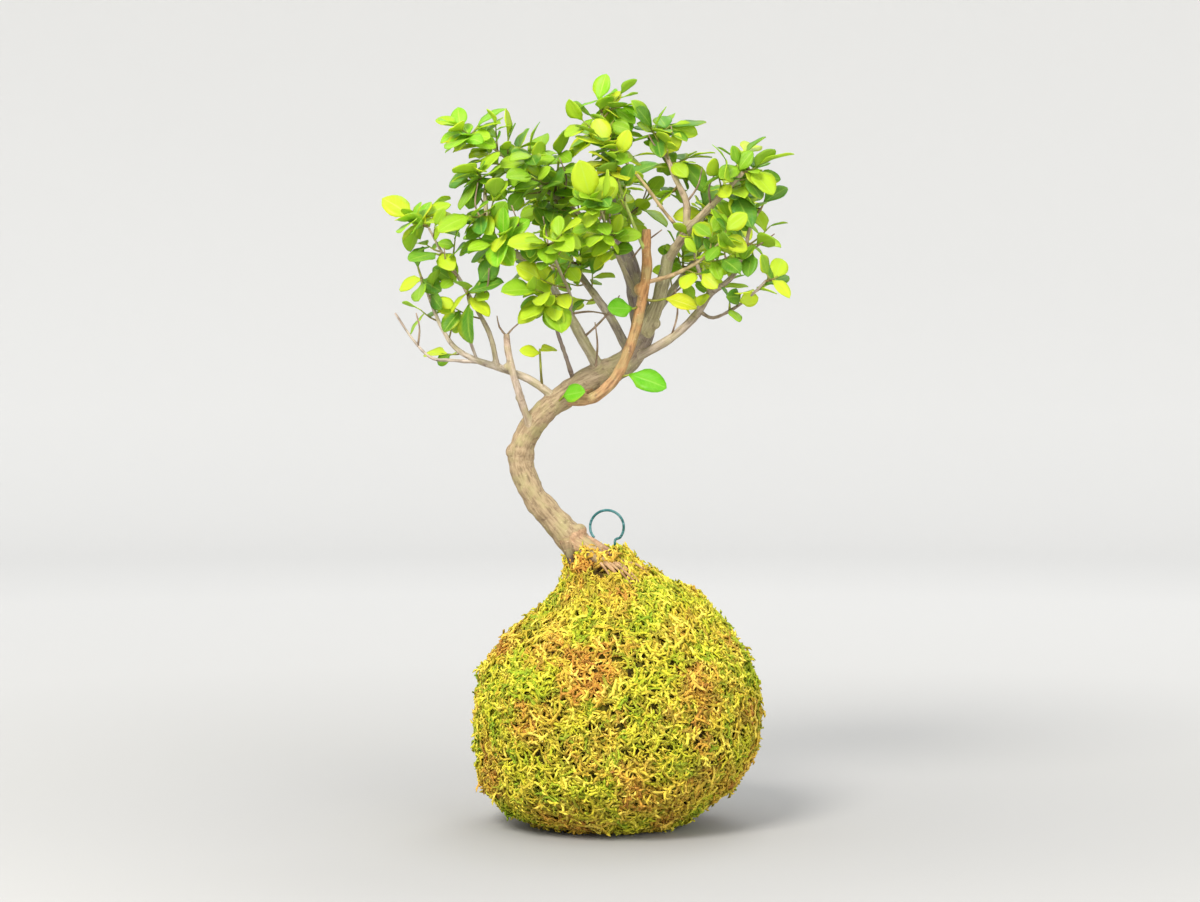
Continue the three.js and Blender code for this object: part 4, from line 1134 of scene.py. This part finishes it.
neckRoots = {
    "middle": (-8, -6, 120), "crest": 0.93, "radii": (1.25, 1, 0.7, 0.4), "seed": 4021,
    "tones": ["#BE9C7C", "#C8A47C", "#BC9468", "#7A5840"],
    # angle round the neck in degrees where they leave it and dive, how low, how thick
    "roots": [
        (-84, -76, 0.845, 1.0), (-78, -69, 0.83, 0.75), (-71, -61, 0.835, 0.9), (-64, -55, 0.84, 0.7),
        (-92, -88, 0.86, 0.7), (-40, -26, 0.86, 0.6), (150, 160, 0.86, 0.9), (60, 70, 0.86, 0.8)],
}


def growNeckRoots():
    # thin ones that leave the wood, run down over the moss and dive into it
    bm = bmesh.new()
    draw = seeded(neckRoots["seed"])
    crest = neckRoots["crest"]
    stems = []
    for i, (leaves, dives, low, thick) in enumerate(neckRoots["roots"]):
        angle, end = math.radians(leaves), math.radians(dives)
        wood = Vector(neckRoots["middle"]) + Vector((math.cos(angle), math.sin(angle), 0)) * 3
        over = mossPlace(angle, crest) + mossNormal(angle, crest) * 0.1
        down = mossPlace((angle + end) / 2, (low + crest) / 2)
        down += mossNormal(angle, 0.9) * (0.6 * draw() - 0.2)
        into = mossPlace(end, low) - mossNormal(end, low) * 3
        radii = [radius * thick for radius in neckRoots["radii"]]
        stems.append({"points": [wood, over, down, into], "radii": radii, "tones": neckRoots["tones"]})
        bm.from_mesh(growRod(stems[-1]["points"], radii, sides=8, step=1.4, wobble=0.14, seed=4100 + i))
    mesh = meshFrom(bm, "neck_roots")
    dressSkin(mesh, stemSamples(stems))
    finishPiece("neck_roots", mesh, [shootBark], "bark")


wireRing = {"radius": 0.6, "ringRadius": 7.7, "middle": (-5, 9, 135), "from": -62, "by": 282,
            "points": 12, "foot": [[4, 10, 88], [2, 10, 104], [0.5, 9.5, 118]]}


def bendWire():
    x, y, z = wireRing["middle"]
    points = list(wireRing["foot"])
    for i in range(wireRing["points"] + 1):
        angle = math.radians(wireRing["from"] + wireRing["by"] * i / wireRing["points"])
        points.append([x + wireRing["ringRadius"] * math.cos(angle), y,
                       z + wireRing["ringRadius"] * math.sin(angle)])
    mesh = growRod(points, [wireRing["radius"]] * 2, sides=14, step=1.0)
    mesh.name = "ring_of_wire"
    finishPiece("ring_of_wire", mesh, [vinyl], "coated_wire", ["wire_ring"])


growNeckRoots()
bendWire()
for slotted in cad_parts["soil_ball"].material_slots:
    slotted.material = soil
print("roots, wire and soil done")


# floor, light and camera

studio = {"floorRadius": 2.0, "bend": 1.0, "wall": 1.3, "lampAim": (0, 0, 0.2),
          "roomTint": "#F4F6F8", "roomLight": 1.15, "greys": [
    (0.0, "#A3A2A1"), (0.05, "#A6A5A4"), (0.1, "#AEADAB"), (0.22, "#BFBEBC"), (0.42, "#CFCECC"),
    (0.62, "#D5D4D2"), (0.8, "#DCDBD9"), (1.0, "#DBDAD8")]}


# matt painted studio floor that runs up into its wall
def floorSurface(add):
    spot = add("TexCoord", out="Object")
    # a greyer middle evens out the brighter light there
    away = add("VectorMath", spot, out="Value", operation="LENGTH")
    share = add("Math", away, 3.2, operation="DIVIDE")
    colour = add("ValToRGB", share, stops=studio["greys"])
    return add("BsdfPrincipled", {"Base Color": colour, "Roughness": 0.9, "IOR": 1.45})


def makeFloor():
    # a profile from the middle of the floor up the wall, spun round
    bm = bmesh.new()
    profile = [(0.0, 0.0), (0.5, 0.0), (studio["floorRadius"], 0.0)]
    for i in range(1, 13):
        angle = math.pi / 2 * i / 12
        profile.append((studio["floorRadius"] + studio["bend"] * math.sin(angle),
                        studio["bend"] * (1 - math.cos(angle))))
    profile.append((studio["floorRadius"] + studio["bend"], studio["wall"]))
    corners = [bm.verts.new((x, 0, z)) for x, z in profile]
    edges = [bm.edges.new(pair) for pair in zip(corners, corners[1:])]
    bmesh.ops.spin(bm, geom=corners + edges, cent=(0, 0, 0), axis=(0, 0, 1), angle=2 * math.pi,
                   steps=96, use_merge=True)
    bmesh.ops.remove_doubles(bm, verts=bm.verts, dist=0.0001)
    bmesh.ops.recalc_face_normals(bm, faces=bm.faces)
    floor = bpy.data.objects.new("studio_floor", meshFrom(bm, "studio_floor"))
    bpy.context.scene.collection.objects.link(floor)
    floor.data.materials.append(makeMaterial("mattPaintedFloor", floorSurface))
    floor.data.shade_smooth()


def turnTowards(thing, aim):
    thing.rotation_euler = (Vector(aim) - thing.location).to_track_quat("-Z", "Y").to_euler()


def addLamp(name, place, size, power, tint="#FFFFFF"):
    lamp = bpy.data.lights.new(name, "AREA")
    lamp.shape = "DISK"
    lamp.size = size
    lamp.energy = power
    lamp.color = linear(tint)[:3]
    holder = bpy.data.objects.new(name, lamp)
    bpy.context.scene.collection.objects.link(holder)
    holder.location = place
    turnTowards(holder, studio["lampAim"])


makeFloor()
addLamp("skylight", (-0.6, -1.25, 1.3), 0.7, 36, "#FFFCF5")
addLamp("frontFill", (0.9, -1.5, 0.5), 1.0, 11)
addLamp("backGlow", (0.35, 0.9, 1.6), 0.9, 7)
world = bpy.data.worlds.new("softRoom")
world.use_nodes = True
world.node_tree.nodes["Background"].inputs[0].default_value = linear(studio["roomTint"])
world.node_tree.nodes["Background"].inputs[1].default_value = studio["roomLight"]
bpy.context.scene.world = world
bpy.context.scene.view_settings.view_transform = "Standard"

# the photograph's place and height of eye, seen through a longer lens
photoView = {"eye": (0.015, -1.150, 0.195), "aim": (-0.008, 0.0, 0.170), "lens": 76}
lens = bpy.data.cameras.new("photoView")
lens.lens = photoView["lens"]
camera = bpy.data.objects.new("photoView", lens)
bpy.context.scene.collection.objects.link(camera)
camera.location = photoView["eye"]
turnTowards(camera, photoView["aim"])
bpy.context.scene.camera = camera
print("floor, lamps and camera in place")
